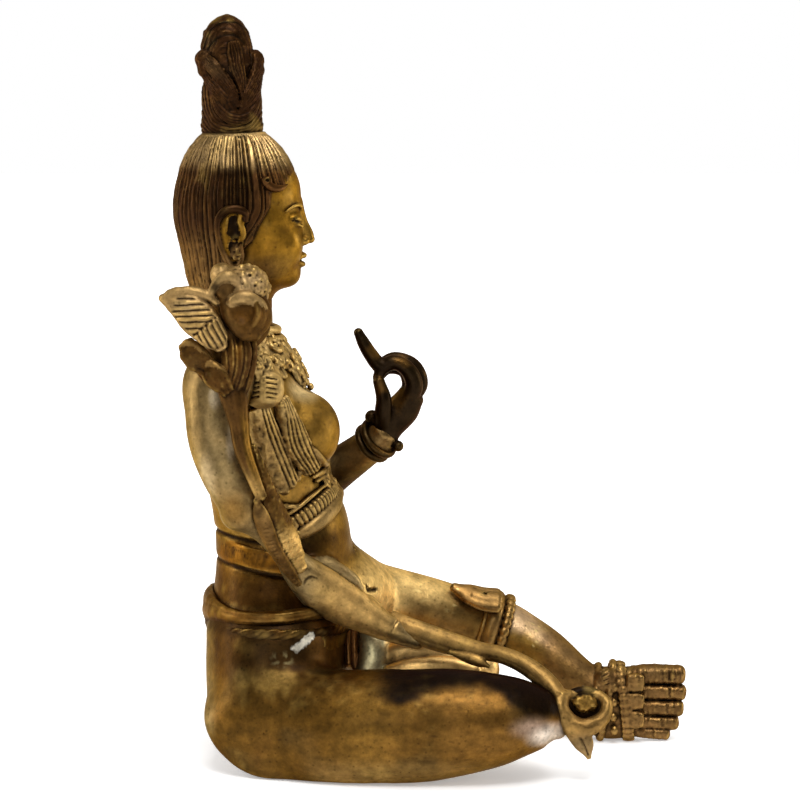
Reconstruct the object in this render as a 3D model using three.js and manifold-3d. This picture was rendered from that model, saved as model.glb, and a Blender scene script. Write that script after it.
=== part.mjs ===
// Green Tara figure: one hollow-cast bronze, seated on the ground, facing +X.
// Millimetres, +Z up, her left side is +Y. The origin is the middle of the
// flat underside of the seat, below the trunk.
//
// The whole work is one casting, so it is one solid: trunk, head with its tall
// chignon, both arms, both legs, ornaments, and the lotus whose stem runs down
// the right arm and out in front of the folded knee.
import * as THREE from 'three';
import { mergeVertices } from 'three/addons/utils/BufferGeometryUtils.js';
import Module from 'manifold-3d';

const wasm = await Module();
wasm.setup();

// ---------------------------------------------------------------- main sizes
const HEIGHT = 241;            // ground to the top of the chignon
const HEAD_BASE_Z = 152;       // underside of the chin
const CROWN_Z = 201.5;         // where the chignon stands on the head
const HEAD_LENGTH = 42;        // brow to back of the hair
const HEAD_WIDTH = 35;
const SHOULDER_HALF = 41;      // centre line to the middle of the shoulder joint
const WAIST_HALF = 25;
const HIP_HALF = 41;
const TRUNK_BACK_X = -22;
const BELT_Z = 46.5;
const BELT_R = 4.2;
const CORD_R = 1.6;
const THIGH_R = 18;            // folded right thigh, thickest place
const UPPER_ARM_R = 9.7;
const FOREARM_R = 6.6;
const STEM_R = 3.6;
const LOOP_R = 8.0;            // ring at the end of the stem
const PETAL_LENGTH = 22;
const FACETS = 9300;           // facets in the whole casting
const SIDES = 9;              // facets round a limb

// joints of the figure
const NECK = [-9.5, 0, 143];
const SHOULDER_R = [-15, -41, 124.5];
const ELBOW_R = [-6.5, -52, 90.5];
const WRIST_R = [10.5, -27, 63.5];
const PALM_R = [26, -18, 54.5];
const FINGERTIP_R = [44.5, -14.5, 43.5];
const SHOULDER_L = [-15, 41, 124.5];
const ELBOW_L = [4, 52, 74];
const WRIST_L = [34.5, 30, 100];
const PALM_L = [43.5, 28, 111.5];
const HIP_R = [0, -23, 22];
const KNEE_R = [94.5, -40, 17];
const ANKLE_R = [38, 0, 30];
const HIP_L = [8, 19, 43];
const KNEE_L = [75, 28, 36];
const ANKLE_L = [106, 19, 18.5];

// ------------------------------------------------------------------- helpers
const vec = (p) => new THREE.Vector3(p[0], p[1], p[2]);
const lerp = (a, b, t) => a + (b - a) * t;
const between = (a, b, t) => a.map((v, i) => lerp(v, b[i], t));
const shift = (p, dx, dy, dz) => [p[0] + dx, p[1] + dy, p[2] + dz];

// a closed geometry becomes a solid: corners merged, collapsed faces dropped
function solid(geometry) {
  let g = geometry.clone();
  for (const name of Object.keys(g.attributes)) if (name !== 'position') g.deleteAttribute(name);
  g = mergeVertices(g, 1e-3);
  const index = g.index.array;
  const pos = g.attributes.position;
  const corner = (k) => new THREE.Vector3(pos.getX(k), pos.getY(k), pos.getZ(k));
  const kept = [];
  let volume = 0;
  for (let i = 0; i < index.length; i += 3) {
    const [a, b, c] = [index[i], index[i + 1], index[i + 2]];
    if (a === b || b === c || c === a) continue;
    kept.push(a, b, c);
    volume += corner(a).dot(corner(b).cross(corner(c)));
  }
  if (volume < 0) kept.reverse();            // faces point out
  return new wasm.Manifold(new wasm.Mesh({
    numProp: 3,
    vertProperties: new Float32Array(g.attributes.position.array),
    triVerts: new Uint32Array(kept),
  }));
}

const parts = [];
const add = (geometry) => { parts.push(solid(geometry)); };

// smooth value along a list, t from 0 to 1
function along(list, t) {
  const x = Math.min(Math.max(t, 0), 1) * (list.length - 1);
  const i = Math.min(Math.floor(x), list.length - 2);
  const f = x - i;
  const p0 = list[Math.max(i - 1, 0)], p1 = list[i], p2 = list[i + 1], p3 = list[Math.min(i + 2, list.length - 1)];
  const m1 = (p2 - p0) / 2, m2 = (p3 - p1) / 2;
  return (2 * f ** 3 - 3 * f ** 2 + 1) * p1 + (f ** 3 - 2 * f ** 2 + f) * m1
    + (-2 * f ** 3 + 3 * f ** 2) * p2 + (f ** 3 - f ** 2) * m2;
}

// a round-ended limb: a capsule bent along a smooth path. Each place has a
// half width and a half thickness; the thickness lies along `side`.
function limb(path, half, { side = [0, 1, 0], sides = SIDES, steps = 6, caps = 1, cap = 0.7, power = 2, wave = null } = {}) {
  const curve = new THREE.CatmullRomCurve3(path.map(vec), false, 'centripetal');
  const widths = half.map((h) => (Array.isArray(h) ? h[0] : h));
  const depths = half.map((h) => (Array.isArray(h) ? h[1] : h));
  const g = new THREE.CapsuleGeometry(1, 1, caps, sides, steps);
  const pos = g.attributes.position;
  const ref = vec(side).normalize();
  for (let i = 0; i < pos.count; i += 1) {
    const x = pos.getX(i), y = pos.getY(i), z = pos.getZ(i);
    const t = Math.min(Math.max(y + 0.5, 0), 1);
    const over = Math.abs(y) > 0.5 ? Math.sign(y) * (Math.abs(y) - 0.5) : 0;
    const p = curve.getPoint(t);
    const tangent = curve.getTangent(t);
    const n1 = ref.clone().addScaledVector(tangent, -ref.dot(tangent)).normalize();
    const n2 = new THREE.Vector3().crossVectors(n1, tangent).normalize();
    let w = along(widths, t), d = along(depths, t);
    const angle = Math.atan2(z, x);
    if (wave) { const k = wave(t, angle); w *= k; d *= k; }
    const radial = Math.hypot(x, z);
    const c = Math.cos(angle), s = Math.sin(angle);
    const cw = Math.sign(c) * Math.abs(c) ** (2 / power) * radial * w;
    const sd = Math.sign(s) * Math.abs(s) ** (2 / power) * radial * d;
    p.addScaledVector(n2, cw).addScaledVector(n1, sd).addScaledVector(tangent, over * cap * Math.min(w, d) * 1.0);
    pos.setXYZ(i, p.x, p.y, p.z);
  }
  add(g);
}

// an ellipsoid, turned so that its long axis lies along `axis`
function blob(centre, radii, axis = [0, 0, 1], roll = 0, segments = 9) {
  const g = new THREE.SphereGeometry(1, segments, Math.max(5, Math.round(segments * 0.62)));
  g.rotateX(Math.PI / 2);
  g.scale(radii[0], radii[1], radii[2]);
  g.rotateZ(roll);
  g.applyQuaternion(new THREE.Quaternion().setFromUnitVectors(vec([0, 0, 1]), vec(axis).normalize()));
  g.translate(...centre);
  add(g);
}

// a ring round a limb: a closed tube swept about an ellipse
function ring(centre, rx, ry, r, axis = [0, 0, 1], { segments = 16, tube = 5, stretch = 1, sag = 0 } = {}) {
  const g = new THREE.TorusGeometry(1, 0.1, tube, segments);
  const pos = g.attributes.position;
  for (let i = 0; i < pos.count; i += 1) {
    const x = pos.getX(i), y = pos.getY(i), z = pos.getZ(i);
    const a = Math.atan2(y, x);
    const out = (Math.hypot(x, y) - 1) * 10 * r;
    pos.setXYZ(i, Math.cos(a) * (rx + out), Math.sin(a) * (ry + out), z * 10 * r * stretch + sag * Math.cos(a));
  }
  g.applyQuaternion(new THREE.Quaternion().setFromUnitVectors(vec([0, 0, 1]), vec(axis).normalize()));
  g.translate(...centre);
  add(g);
}

// a cupped petal from its root to its tip
function petal(root, tip, width, thick, face, bow = 2) {
  const middle = between(root, tip, 0.5).map((v, i) => v + face[i] * bow);
  limb([root, between(root, middle, 0.55), middle, between(middle, tip, 0.6), tip],
    [[width * 0.45, thick], [width * 0.85, thick * 1.1], [width, thick], [width * 0.72, thick * 0.8], [width * 0.18, thick * 0.45]],
    { side: face, sides: 7, steps: 5, caps: 1, cap: 0.6 });
}

// --------------------------------------------------------------------- trunk
{
  // height, front x, back x, half breadth
  const sections = [
    [-3, 20, -15, 40], [12, 23, -20, HIP_HALF], [28, 25, TRUNK_BACK_X, HIP_HALF - 1],
    [44, 25, -21.5, 35], [56, 24, -18.2, 28.5], [68, 23.5, -17.6, WAIST_HALF], [82, 22, -19, WAIST_HALF + 0.5],
    [96, 16, -21.8, 29], [110, 13.5, -23.5, 32.5], [121, 11, -23.5, 36], [130, 6, -21.5, 29],
    [136, 2, -19.5, 17], [141, 1, -19, 11.5], [152, 0.5, -19.5, 10],
  ];
  limb(sections.map(([z, front, back]) => [(front + back) / 2, 0, z]),
    sections.map(([, front, back, half]) => [half, (front - back) / 2]),
    { side: [1, 0, 0], sides: 16, steps: 14, caps: 1, cap: 0.1, power: 2.25 });
}
for (const s of [-1, 1]) {
  blob([11, s * 14.5, 107.5], [11.8, 12.2, 12.2], [0.25, 0, 1], 0, 11);       // breasts
  blob([-2, s * 24, 18], [20, 17.5, 21], [0, 0, 1], 0, 12);                   // buttocks and hips
}
blob([20, 0, 66], [8, 17, 17]);                                               // belly

// ------------------------------------------------------------ neck and head
limb([NECK, [-9.2, 0, 150], [-8.5, 0, 158]], [[10.6, 10.8], [10, 10.2], [10, 10.5]], { side: [1, 0, 0], steps: 2 });
ring([-8.8, 0, 140.6], 11.6, 11.8, 1.7, [0.12, 0, 1], { tube: 5 });
{
  const cx = -30.8 + HEAD_LENGTH / 2;
  blob([cx - 1.2, 0, 180], [HEAD_LENGTH / 2 - 1, HEAD_WIDTH / 2, 23.4], [0.03, 0, 1], 0, 16);   // hair cap
  blob([-16.2, 0, 164], [13.6, 14.2, 17.5], [0.06, 0, 1], 0, 12);             // hair at the nape
  limb([[-2.5, 0, 158.5], [-1.5, 0, 166], [-1.8, 0, 176], [-3.5, 0, 187]],
    [[8.3, 9], [12.2, 12], [14.2, 13], [14, 11.5]], { side: [1, 0, 0], sides: 12, steps: 5, cap: 0.55 });   // face
  blob([4.8, 0, 157], [3.6, 5.2, 4]);                                         // chin
  limb([[10.2, 0, 177], [11.6, 0, 171.5], [12.2, 0, 167.6]], [1.1, 1.6, 2], { sides: 7, steps: 2 });   // nose
  limb([[9.6, -3.4, 162.4], [11.2, 0, 162.2], [9.6, 3.4, 162.4]], [1, 1.5, 1], { side: [0, 0, 1], sides: 6, steps: 3, caps: 1 });
  for (const s of [-1, 1]) {
    limb([[8.2, s * 2.8, 177.3], [7.4, s * 6.6, 178.4], [4.2, s * 10.6, 177.2]], [0.7, 1.1, 0.7], { side: [0, 0, 1], sides: 6, steps: 3, caps: 1 });
    limb([[-9.5, s * 17.2, 179], [-10.8, s * 18.2, 172], [-9, s * 17.6, 164], [-8.2, s * 16.8, 160.5]],
      [[4.2, 2.2], [4.6, 2.4], [3.4, 1.8], [2.8, 1.6]], { side: [0, 1, 0], sides: 8, steps: 5, caps: 1 });    // long ear
    blob([2.4, s * 13.4, 186.6], [2.3, 2.2, 2.6]);                            // curl at the temple
  }
}
{
  // chignon: bound locks in three tiers on a turned core
  const top = HEIGHT, base = CROWN_Z;
  const profile = [[0, top], [4.2, top - 0.9], [7, top - 3.2], [8.3, top - 7], [8.4, top - 11.5],
    [9.6, top - 13.5], [10.1, top - 17], [8.6, top - 20.5], [9.6, top - 24], [9.9, top - 31],
    [10.5, top - 37], [8.6, base], [9, base - 6], [0, base - 6]];
  const g = new THREE.LatheGeometry(profile.map(([r, z]) => new THREE.Vector2(r, z)).reverse(), 14);
  g.rotateX(Math.PI / 2);
  const pos = g.attributes.position;
  for (let i = 0; i < pos.count; i += 1) {
    const z = pos.getZ(i);
    pos.setX(i, pos.getX(i) - lerp(10.8, 12.9, (z - base) / (top - base)));
  }
  add(g);
  for (let i = 0; i < 6; i += 1) {
    const a = (i / 6) * 2 * Math.PI + 0.3;
    const at = (r, z, da) => [-12 + r * Math.cos(a + da), r * Math.sin(a + da), z];
    limb([at(8.2, top - 21, 0.5), at(10, top - 17.5, 0.2), at(9.2, top - 13, -0.1)], [1.4, 2.1, 1.4], { side: [0, 0, 1], sides: 6, steps: 3, caps: 1 });
    limb([at(8.6, top - 23, -0.35), at(9.8, top - 30, 0), at(9.6, top - 36, 0.4)], [1.3, 1.8, 1.5], { side: [0, 0, 1], sides: 6, steps: 3, caps: 1 });
  }
}

// ------------------------------------------------------------------ right arm
limb([shift(SHOULDER_R, 3, 8, 4), SHOULDER_R, [-15.6, -47.5, 109], ELBOW_R], [10, 10.6, UPPER_ARM_R, 8.2], { steps: 8 });
blob(SHOULDER_R, [12, 11, 12.5], [0, 0.3, 1]);
limb([ELBOW_R, [3, -42, 76], WRIST_R], [8.3, 7.8, FOREARM_R], { steps: 5 });
limb([WRIST_R, PALM_R, between(PALM_R, FINGERTIP_R, 0.6), FINGERTIP_R], [[6.2, 4.8], [8.8, 4.4], [6.6, 3.6], [3, 2.6]], { steps: 7 });
limb([shift(WRIST_R, 2, 2, 5), shift(PALM_R, -4, -3, 9.5), shift(PALM_R, 6, -2, 7)], [2.6, 2.9, 2], { steps: 4, sides: 8 });

// ------------------------------------------------------------------- left arm
limb([shift(SHOULDER_L, 3, -8, 4), SHOULDER_L, between(SHOULDER_L, ELBOW_L, 0.5), ELBOW_L], [10, 10.6, 9.4, 8], { steps: 8 });
blob(SHOULDER_L, [12, 11, 12.5], [0, -0.3, 1]);
limb([ELBOW_L, between(ELBOW_L, WRIST_L, 0.5), WRIST_L], [8, 7, 5.8], { steps: 5 });
{
  const axis = WRIST_L.map((v, i) => v - ELBOW_L[i]);
  for (const k of [-2.2, 1.6]) {
    const n = vec(axis).normalize();
    ring(shift(WRIST_L, n.x * k, n.y * k, n.z * k), 6.4, 6.4, 1.7, axis, { tube: 5, segments: 14 });
  }
  limb([WRIST_L, shift(WRIST_L, 4, -1, 5), PALM_L], [[5.4, 5], [6.4, 5], [5.6, 4]], { steps: 4, sides: 10 });
  // three straight fingers curve back over the palm; finger and thumb touch
  const tips = [[28.5, 25.5, 136], [33, 30, 123.5], [36, 34, 121]];
  limb([shift(PALM_L, 1, -2, 0), [46.5, 26, 119], [43, 25.5, 126], [36.5, 25.5, 127], [34.5, 26, 121.5]], [3.1, 3, 2.6, 2.3, 2.2], { sides: 6, steps: 6 });
  limb([shift(PALM_L, 0, 2, 0), [48, 30.5, 119], [43.5, 30.5, 127], tips[1]], [3.1, 3, 2.6, 2.2], { sides: 6, steps: 5 });
  limb([shift(PALM_L, -1, 5, 0), [45, 34.5, 118], [41, 35, 124.5], tips[2]], [2.8, 2.8, 2.4, 2], { sides: 6, steps: 5 });
  limb([shift(WRIST_L, 1, -3, 6), [36.5, 23.5, 113], [35, 24.5, 121]], [3, 2.9, 2.3], { sides: 6, steps: 4 });
  limb([[35.5, 25.5, 122], [32.5, 25.5, 128], tips[0]], [2.6, 2.4, 1.9], { sides: 6, steps: 3 });
}

// ----------------------------------------------------------- folded right leg
{
  const path = [HIP_R, [20, -34, 19.5], [42, -39.5, 17.6], [58, -41, 17.4], [70, -41.5, 17.8], [80, -41.2, 18], [88, -40.6, 17.6], [93, -40.2, 17.2]];
  limb(path, [[21, 18], [19.4, 17.6], [18.4, 17.2], [17.2, 16.6], [15, 15.5], [12, 13.6], [8.2, 10.8], [4, 7]], { side: [0, 1, 0], sides: 12, steps: 9 });
  limb([shift(KNEE_R, -12, 7, -1), [72, -22, 20], [54, -9, 27], ANKLE_R], [[10, 9], [10.5, 9.5], [9, 8.5], [7, 7]], { steps: 7 });
  limb([shift(ANKLE_R, -2, -3, 3), shift(ANKLE_R, -4, 4, 1), [24, 20, 27]], [[8, 7], [8.5, 6.5], [7, 5]], { side: [1, 0, 0], steps: 4 });
  for (let i = 0; i < 5; i += 1) blob([20 + i * 2.7, 25 + i * 0.3, 26 + i * 0.7], [2, 4.6, 2.1], [0, 0, 1], 0, 8);
}

// --------------------------------------------------------- extended left leg
limb([HIP_L, [33, 22, 43.5], [53, 25, 41.5], KNEE_L, [91, 24.5, 28.5], ANKLE_L], [[17, 15], [12.4, 12.4], [10.6, 11], [9.3, 10], [8, 8.4], [6.3, 6.6]], { steps: 9, sides: 11 });
{
  const axis = [0.93, 0.02, -0.36];
  ring(shift(KNEE_L, -2, 0, 0.8), 9.6, 9.6, 1.9, axis, { tube: 5, stretch: 1.2, segments: 16 });
  ring(shift(KNEE_L, 2.6, 0, -0.6), 9.3, 9.3, 2.2, axis, { tube: 5, segments: 16 });
  limb([shift(KNEE_L, -2, -1, 10.4), shift(KNEE_L, -9, -1.4, 11.4), shift(KNEE_L, -14.5, -2, 12.4)], [[4.2, 2.2], [3.4, 2], [1.4, 1.2]], { side: [0, 0, 1], sides: 8, steps: 4, caps: 1 });
}
{
  // foot on its outer edge, toes forward, great toe uppermost
  limb([shift(ANKLE_L, -6, 2, -4), [112, 20, 12.6], [120, 20.4, 12.4], [126, 20.6, 12]], [[10.4, 6.8], [13, 7.2], [12.4, 6.6], [11.4, 5.6]], { side: [0, 1, 0], steps: 5, sides: 14 });
  ring([112, 20, 13], 13.4, 8.2, 1.6, [1, 0, 0], { tube: 5, segments: 18 });
  ring([116.5, 20, 12.8], 13.2, 8, 1.6, [1, 0, 0], { tube: 5, segments: 18 });
  const toes = [[22.6, 3.2, 138], [17.2, 2.7, 138], [11.6, 2.8, 137.2], [6.2, 2.5, 135.6], [2.0, 2.3, 132.6]];
  for (const [z, r, x] of toes) limb([[120, 20.5, lerp(z, 12, 0.15)], [129, 19.8, z], [x - r * 0.7, 19.4, z]], [r, r, r * 0.94], { sides: 7, steps: 2 });
}

// -------------------------------------------------------------- belt and dress
ring([1.6, 0, BELT_Z], 24.6, 36.4, BELT_R, [-0.03, 0, 1], { segments: 22, tube: 6, stretch: 1.05 });
ring([1.6, 0, BELT_Z - 6.2], 24.6, 37.4, CORD_R + 0.6, [-0.03, 0, 1], { segments: 22, tube: 4 });
ring([1.4, 0, 66.5], 20.6, 26.6, 1.6, [-0.1, 0, 1], { segments: 20, tube: 4, stretch: 1.8 });
limb([[27, -3, 48], [28.6, -3.5, 40], [28.4, -4, 31]], [[6.5, 2.4], [6, 2.2], [5, 2]], { side: [1, 0, 0], steps: 3, sides: 8, caps: 1 });

// ---------------------------------------------------- necklace, sashes, roll
for (let i = 0; i <= 10; i += 1) {
  const a = lerp(-1.35, 1.35, i / 10);
  blob([-8 + 21.5 * Math.cos(a), 24 * Math.sin(a), 130.5 - 11 * Math.cos(a) ** 2 + 3 * Math.sin(a) ** 2], [3.4, 4, 3.6], [0.6, 0, 1], 0, 8);
}
for (const s of [-1, 1]) {
  blob([2, s * 33, 122], [8.5, 6.5, 8], [0, 0, 1], 0, 10);                     // ribbed shoulder ornament
  for (const k of [0, 1]) {
    limb([[5 + k * 5, s * (30 - k * 8), 117], [10 + k * 5, s * (28.5 - k * 7), 107], [15 + k * 6, s * (24 - k * 6), 94]],
      [[3.8, 3], [4.2, 3.2], [4.2, 3]], { side: [0.5, s * 0.85, 0], steps: 4, sides: 8, caps: 1 });
  }
  limb([[18, s * 22, 82.5], [21, s * 15, 89], [23, s * 5, 94]], [2.4, 2.6, 2.2], { steps: 4, sides: 8 });
  limb([[14, s * 25, 76], [20.5, s * 17, 79], [24.5, s * 6, 84.5]], [2.6, 3, 2.4], { steps: 4, sides: 8 });
}

// -------------------------------------------------- lotus, stem, leaf and loop
{
  const heart = [-6, -57, 152];
  blob([-5, -57.5, 160.5], [7.2, 7, 6.6], [0.2, 0, 1], 0, 12);                 // seed head
  blob([-13.5, -58, 163.5], [3.4, 5, 4.2], [0.2, 0, 1], 0, 8);
  petal([-6, -58, 139], [-28.8, -59, 153.5], 7.2, 3.2, [-0.3, -0.7, 0.6], 4);   // broad ribbed petal behind
  petal([-7, -61, 138], [-15, -64.5, 148.8], 6.8, 2.8, [0, -1, 0.2], 3);
  petal([-6.5, -59, 133], [-23.4, -60, 142], 5.6, 2.8, [-0.2, -0.9, -0.2], 2);
  petal([-8, -60, 129.5], [-15.5, -62, 138.5], 5, 2.6, [0, -1, 0], 2);
  petal([-7.5, -60, 130.5], [-3, -62, 148.5], 5.2, 2.6, [0.1, -1, 0], 2.5);
  petal([-6, -60, 140], [-1, -62, 156], 6.4, 3, [0.2, -1, 0.1], 3.5);
  petal([-6, -56, 138], [4, -55, 154], 6, 2.6, [0.9, 0.1, -0.2], 3);
  petal([-7, -54, 138], [-14, -48.5, 153], 7, 2.8, [-0.2, 1, 0.1], 3);
  petal([-7, -54, 138], [0, -49, 154], 6.5, 2.8, [0.3, 1, 0], 3);
  blob(heart, [8.4, 7.4, 11], [0, 0, 1], 0, 12);
  blob([-9, -55, 137], [5.5, 7, 8], [0, 0, 1], 0, 10);
}
{
  const stem = [[-8.6, -58, 134], [-9, -59.5, 124], [-7.2, -60.5, 112], [-4.8, -61.5, 101], [-1, -61, 91], [3.6, -56, 79], [9.5, -38, 67.5]];
  limb(stem, [[3.6, 3.2], [4, 3.2], [3.9, 3], [3.8, 3], [4.2, 3], [5, 3], [5.4, 3]], { steps: 10, sides: 7 });
  limb([[-3, -63, 96.5], [1.2, -62, 88.5], [4.6, -57.6, 80], [8, -47, 71.5]], [[2.6, 2], [3.6, 2.4], [4.2, 2.4], [4.2, 2]], { steps: 7, sides: 8 });
  limb([[10, -33, 66], [22, -24, 52.5], [32, -21, 46.5], [45, -20, 43.4], [68, -26, 37], [82, -34, 32.6], [91, -40, 29]],
    [[4.6, 3.4], [3.8, 3.2], [3.5, 3], [STEM_R, 3], [3.4, 3], [3.6, 3.2], [4, 3.4]], { steps: 13, sides: 7 });
  // the end of the stem opens into a ring with a pod in it and a leaf below
  const ringCentre = [100.5, -44, 22.5];
  const g = new THREE.TorusGeometry(LOOP_R - 1.6, 2.8, 6, 13);
  g.rotateX(Math.PI / 2);
  g.scale(1.04, 1.15, 0.9);
  g.translate(...ringCentre);
  add(g);
  limb([[88, -39, 30.5], [97, -42.5, 29.8], [105, -43.5, 26.5]], [[3.6, 3], [3, 3], [2.6, 2.8]], { steps: 4, sides: 8 });
  blob(shift(ringCentre, 0, 3.4, 0), [4, 3, 4], [0, 0, 1], 0, 8);
  petal(shift(ringCentre, -3, 0.5, -5.5), [101, -45, 8.8], 4.4, 2, [0, -1, 0], 1);
}

// ------------------------------------------------------------- one casting
// surfaces that close off a pocket inside the metal, or loose crumbs, are dropped
function outerSkin(mesh) {
  const tri = mesh.triVerts, vp = mesh.vertProperties, n = vp.length / 3;
  const parent = new Int32Array(n).map((_, i) => i);
  const find = (a) => { while (parent[a] !== a) { parent[a] = parent[parent[a]]; a = parent[a]; } return a; };
  for (let i = 0; i < tri.length; i += 3) {
    parent[find(tri[i])] = find(tri[i + 1]);
    parent[find(tri[i + 1])] = find(tri[i + 2]);
  }
  const volume = new Map();
  const p = (k) => new THREE.Vector3(vp[3 * k], vp[3 * k + 1], vp[3 * k + 2]);
  for (let i = 0; i < tri.length; i += 3) {
    const a = p(tri[i]), b = p(tri[i + 1]), c = p(tri[i + 2]);
    const r = find(tri[i]);
    volume.set(r, (volume.get(r) || 0) + a.dot(b.cross(c)) / 6);
  }
  let best = -1, most = -Infinity;
  for (const [r, v] of volume) if (v > most) { most = v; best = r; }
  const used = new Map(), verts = [], index = [];
  for (let i = 0; i < tri.length; i += 3) {
    if (find(tri[i]) !== best) continue;
    for (let k = 0; k < 3; k += 1) {
      const v = tri[i + k];
      if (!used.has(v)) { used.set(v, used.size); verts.push(vp[3 * v], vp[3 * v + 1], vp[3 * v + 2]); }
      index.push(used.get(v));
    }
  }
  return { verts, index };
}

// the joins leave many small facets where forms run into each other: edges are
// folded away, the one that changes the surface least first
function fewerFacets({ verts, index }, target) {
  const faces = [];
  for (let i = 0; i < index.length; i += 3) faces.push([index[i], index[i + 1], index[i + 2]]);
  const n = verts.length / 3;
  const pts = Array.from({ length: n }, (_, i) => [verts[3 * i], verts[3 * i + 1], verts[3 * i + 2]]);
  const around = Array.from({ length: n }, () => new Set());
  const quad = Array.from({ length: n }, () => new Float64Array(10));
  const version = new Int32Array(n);
  const normal = (a, b, c) => {
    const u = [b[0] - a[0], b[1] - a[1], b[2] - a[2]], w = [c[0] - a[0], c[1] - a[1], c[2] - a[2]];
    return [u[1] * w[2] - u[2] * w[1], u[2] * w[0] - u[0] * w[2], u[0] * w[1] - u[1] * w[0]];
  };
  faces.forEach((f, i) => {
    const m = normal(pts[f[0]], pts[f[1]], pts[f[2]]);
    const area = Math.hypot(...m);
    for (const v of f) around[v].add(i);
    if (area < 1e-12) return;
    const [a, b, c] = m.map((x) => x / area);
    const d = -(a * pts[f[0]][0] + b * pts[f[0]][1] + c * pts[f[0]][2]);
    const q = [a * a, a * b, a * c, a * d, b * b, b * c, b * d, c * c, c * d, d * d];
    for (const v of f) for (let k = 0; k < 10; k += 1) quad[v][k] += q[k] * area;
  });
  const error = (q, [x, y, z]) => q[0] * x * x + 2 * q[1] * x * y + 2 * q[2] * x * z + 2 * q[3] * x
    + q[4] * y * y + 2 * q[5] * y * z + 2 * q[6] * y + q[7] * z * z + 2 * q[8] * z + q[9];
  const heap = [];
  const swap = (i, j) => { const t = heap[i]; heap[i] = heap[j]; heap[j] = t; };
  const push = (item) => {
    heap.push(item);
    for (let i = heap.length - 1; i > 0;) { const j = (i - 1) >> 1; if (heap[j].cost <= heap[i].cost) break; swap(i, j); i = j; }
  };
  const pop = () => {
    const top = heap[0], last = heap.pop();
    if (heap.length) {
      heap[0] = last;
      for (let i = 0; ;) {
        let j = 2 * i + 1;
        if (j >= heap.length) break;
        if (j + 1 < heap.length && heap[j + 1].cost < heap[j].cost) j += 1;
        if (heap[i].cost <= heap[j].cost) break;
        swap(i, j); i = j;
      }
    }
    return top;
  };
  const neighbours = (v) => { const s = new Set(); for (const f of around[v]) for (const w of faces[f]) if (w !== v) s.add(w); return s; };
  const consider = (u, v) => {
    const q = quad[u].map((x, k) => x + quad[v][k]);
    const a = pts[u], b = pts[v], mid = a.map((x, k) => (x + b[k]) / 2);
    const length = Math.hypot(a[0] - b[0], a[1] - b[1], a[2] - b[2]);
    let best = null;
    for (const p of [mid, a, b]) { const e = Math.max(error(q, p), 0); if (!best || e < best.e) best = { e, p }; }
    push({ cost: best.e + 1e-4 * length ** 3, u, v, p: best.p.slice(), mark: version[u] + version[v] });
  };
  for (let u = 0; u < n; u += 1) for (const v of neighbours(u)) if (v > u) consider(u, v);
  const dead = new Uint8Array(n), gone = new Uint8Array(faces.length);
  let left = faces.length;
  while (left > target && heap.length) {
    const { u, v, p, mark } = pop();
    if (dead[u] || dead[v] || mark !== version[u] + version[v]) continue;
    const nu = neighbours(u), nv = neighbours(v);
    if (!nu.has(v)) continue;
    let shared = 0;
    for (const w of nu) if (nv.has(w)) shared += 1;
    if (shared !== 2) continue;
    let flips = false;
    for (const [own, other] of [[u, v], [v, u]]) {
      for (const f of around[own]) {
        if (faces[f].includes(other)) continue;
        const before = normal(...faces[f].map((w) => pts[w]));
        const after = normal(...faces[f].map((w) => (w === own ? p : pts[w])));
        const dot = before[0] * after[0] + before[1] * after[1] + before[2] * after[2];
        const la = Math.hypot(...after);
        if (la < 2e-3 || dot < 0.35 * la * Math.hypot(...before)) { flips = true; break; }
      }
      if (flips) break;
    }
    if (flips) continue;
    for (const f of [...around[v]]) {
      if (faces[f].includes(u)) {
        for (const w of faces[f]) around[w].delete(f);
        gone[f] = 1; left -= 1;
      } else {
        faces[f] = faces[f].map((w) => (w === v ? u : w));
        around[u].add(f);
      }
    }
    around[v].clear();
    dead[v] = 1;
    pts[u] = p;
    for (let k = 0; k < 10; k += 1) quad[u][k] += quad[v][k];
    version[u] += 1 + version[v];
    for (const w of neighbours(u)) consider(u, w);
  }
  const used = new Map(), outVerts = [], outIndex = [];
  faces.forEach((f, i) => {
    if (gone[i]) return;
    for (const v of f) {
      if (!used.has(v)) { used.set(v, used.size); outVerts.push(...pts[v]); }
      outIndex.push(used.get(v));
    }
  });
  return { verts: outVerts, index: outIndex };
}
const asManifold = ({ verts, index }) => new wasm.Manifold(new wasm.Mesh({
  numProp: 3, vertProperties: new Float32Array(verts), triVerts: new Uint32Array(index) }));

const joined = fewerFacets(outerSkin(wasm.Manifold.union(parts).getMesh()), FACETS);
const below = new THREE.BoxGeometry(600, 400, 60);
below.translate(0, 0, -30);
const figure = asManifold(joined).subtract(solid(below));            // flat underside
const skin = outerSkin(figure.getMesh());
const geometry = new THREE.BufferGeometry();
geometry.setAttribute('position', new THREE.Float32BufferAttribute(skin.verts, 3));
geometry.setIndex(skin.index);
geometry.computeVertexNormals();

const bronze = new THREE.MeshStandardMaterial({ color: 0x8a6734, roughness: 0.48, metalness: 0.85 });
const tara = new THREE.Mesh(geometry, bronze);
tara.name = 'tara_figure';

const group = new THREE.Group();
group.name = 'green_tara';
group.add(tara);
export default group;
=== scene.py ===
import math
import time
from concurrent.futures import ThreadPoolExecutor

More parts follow.
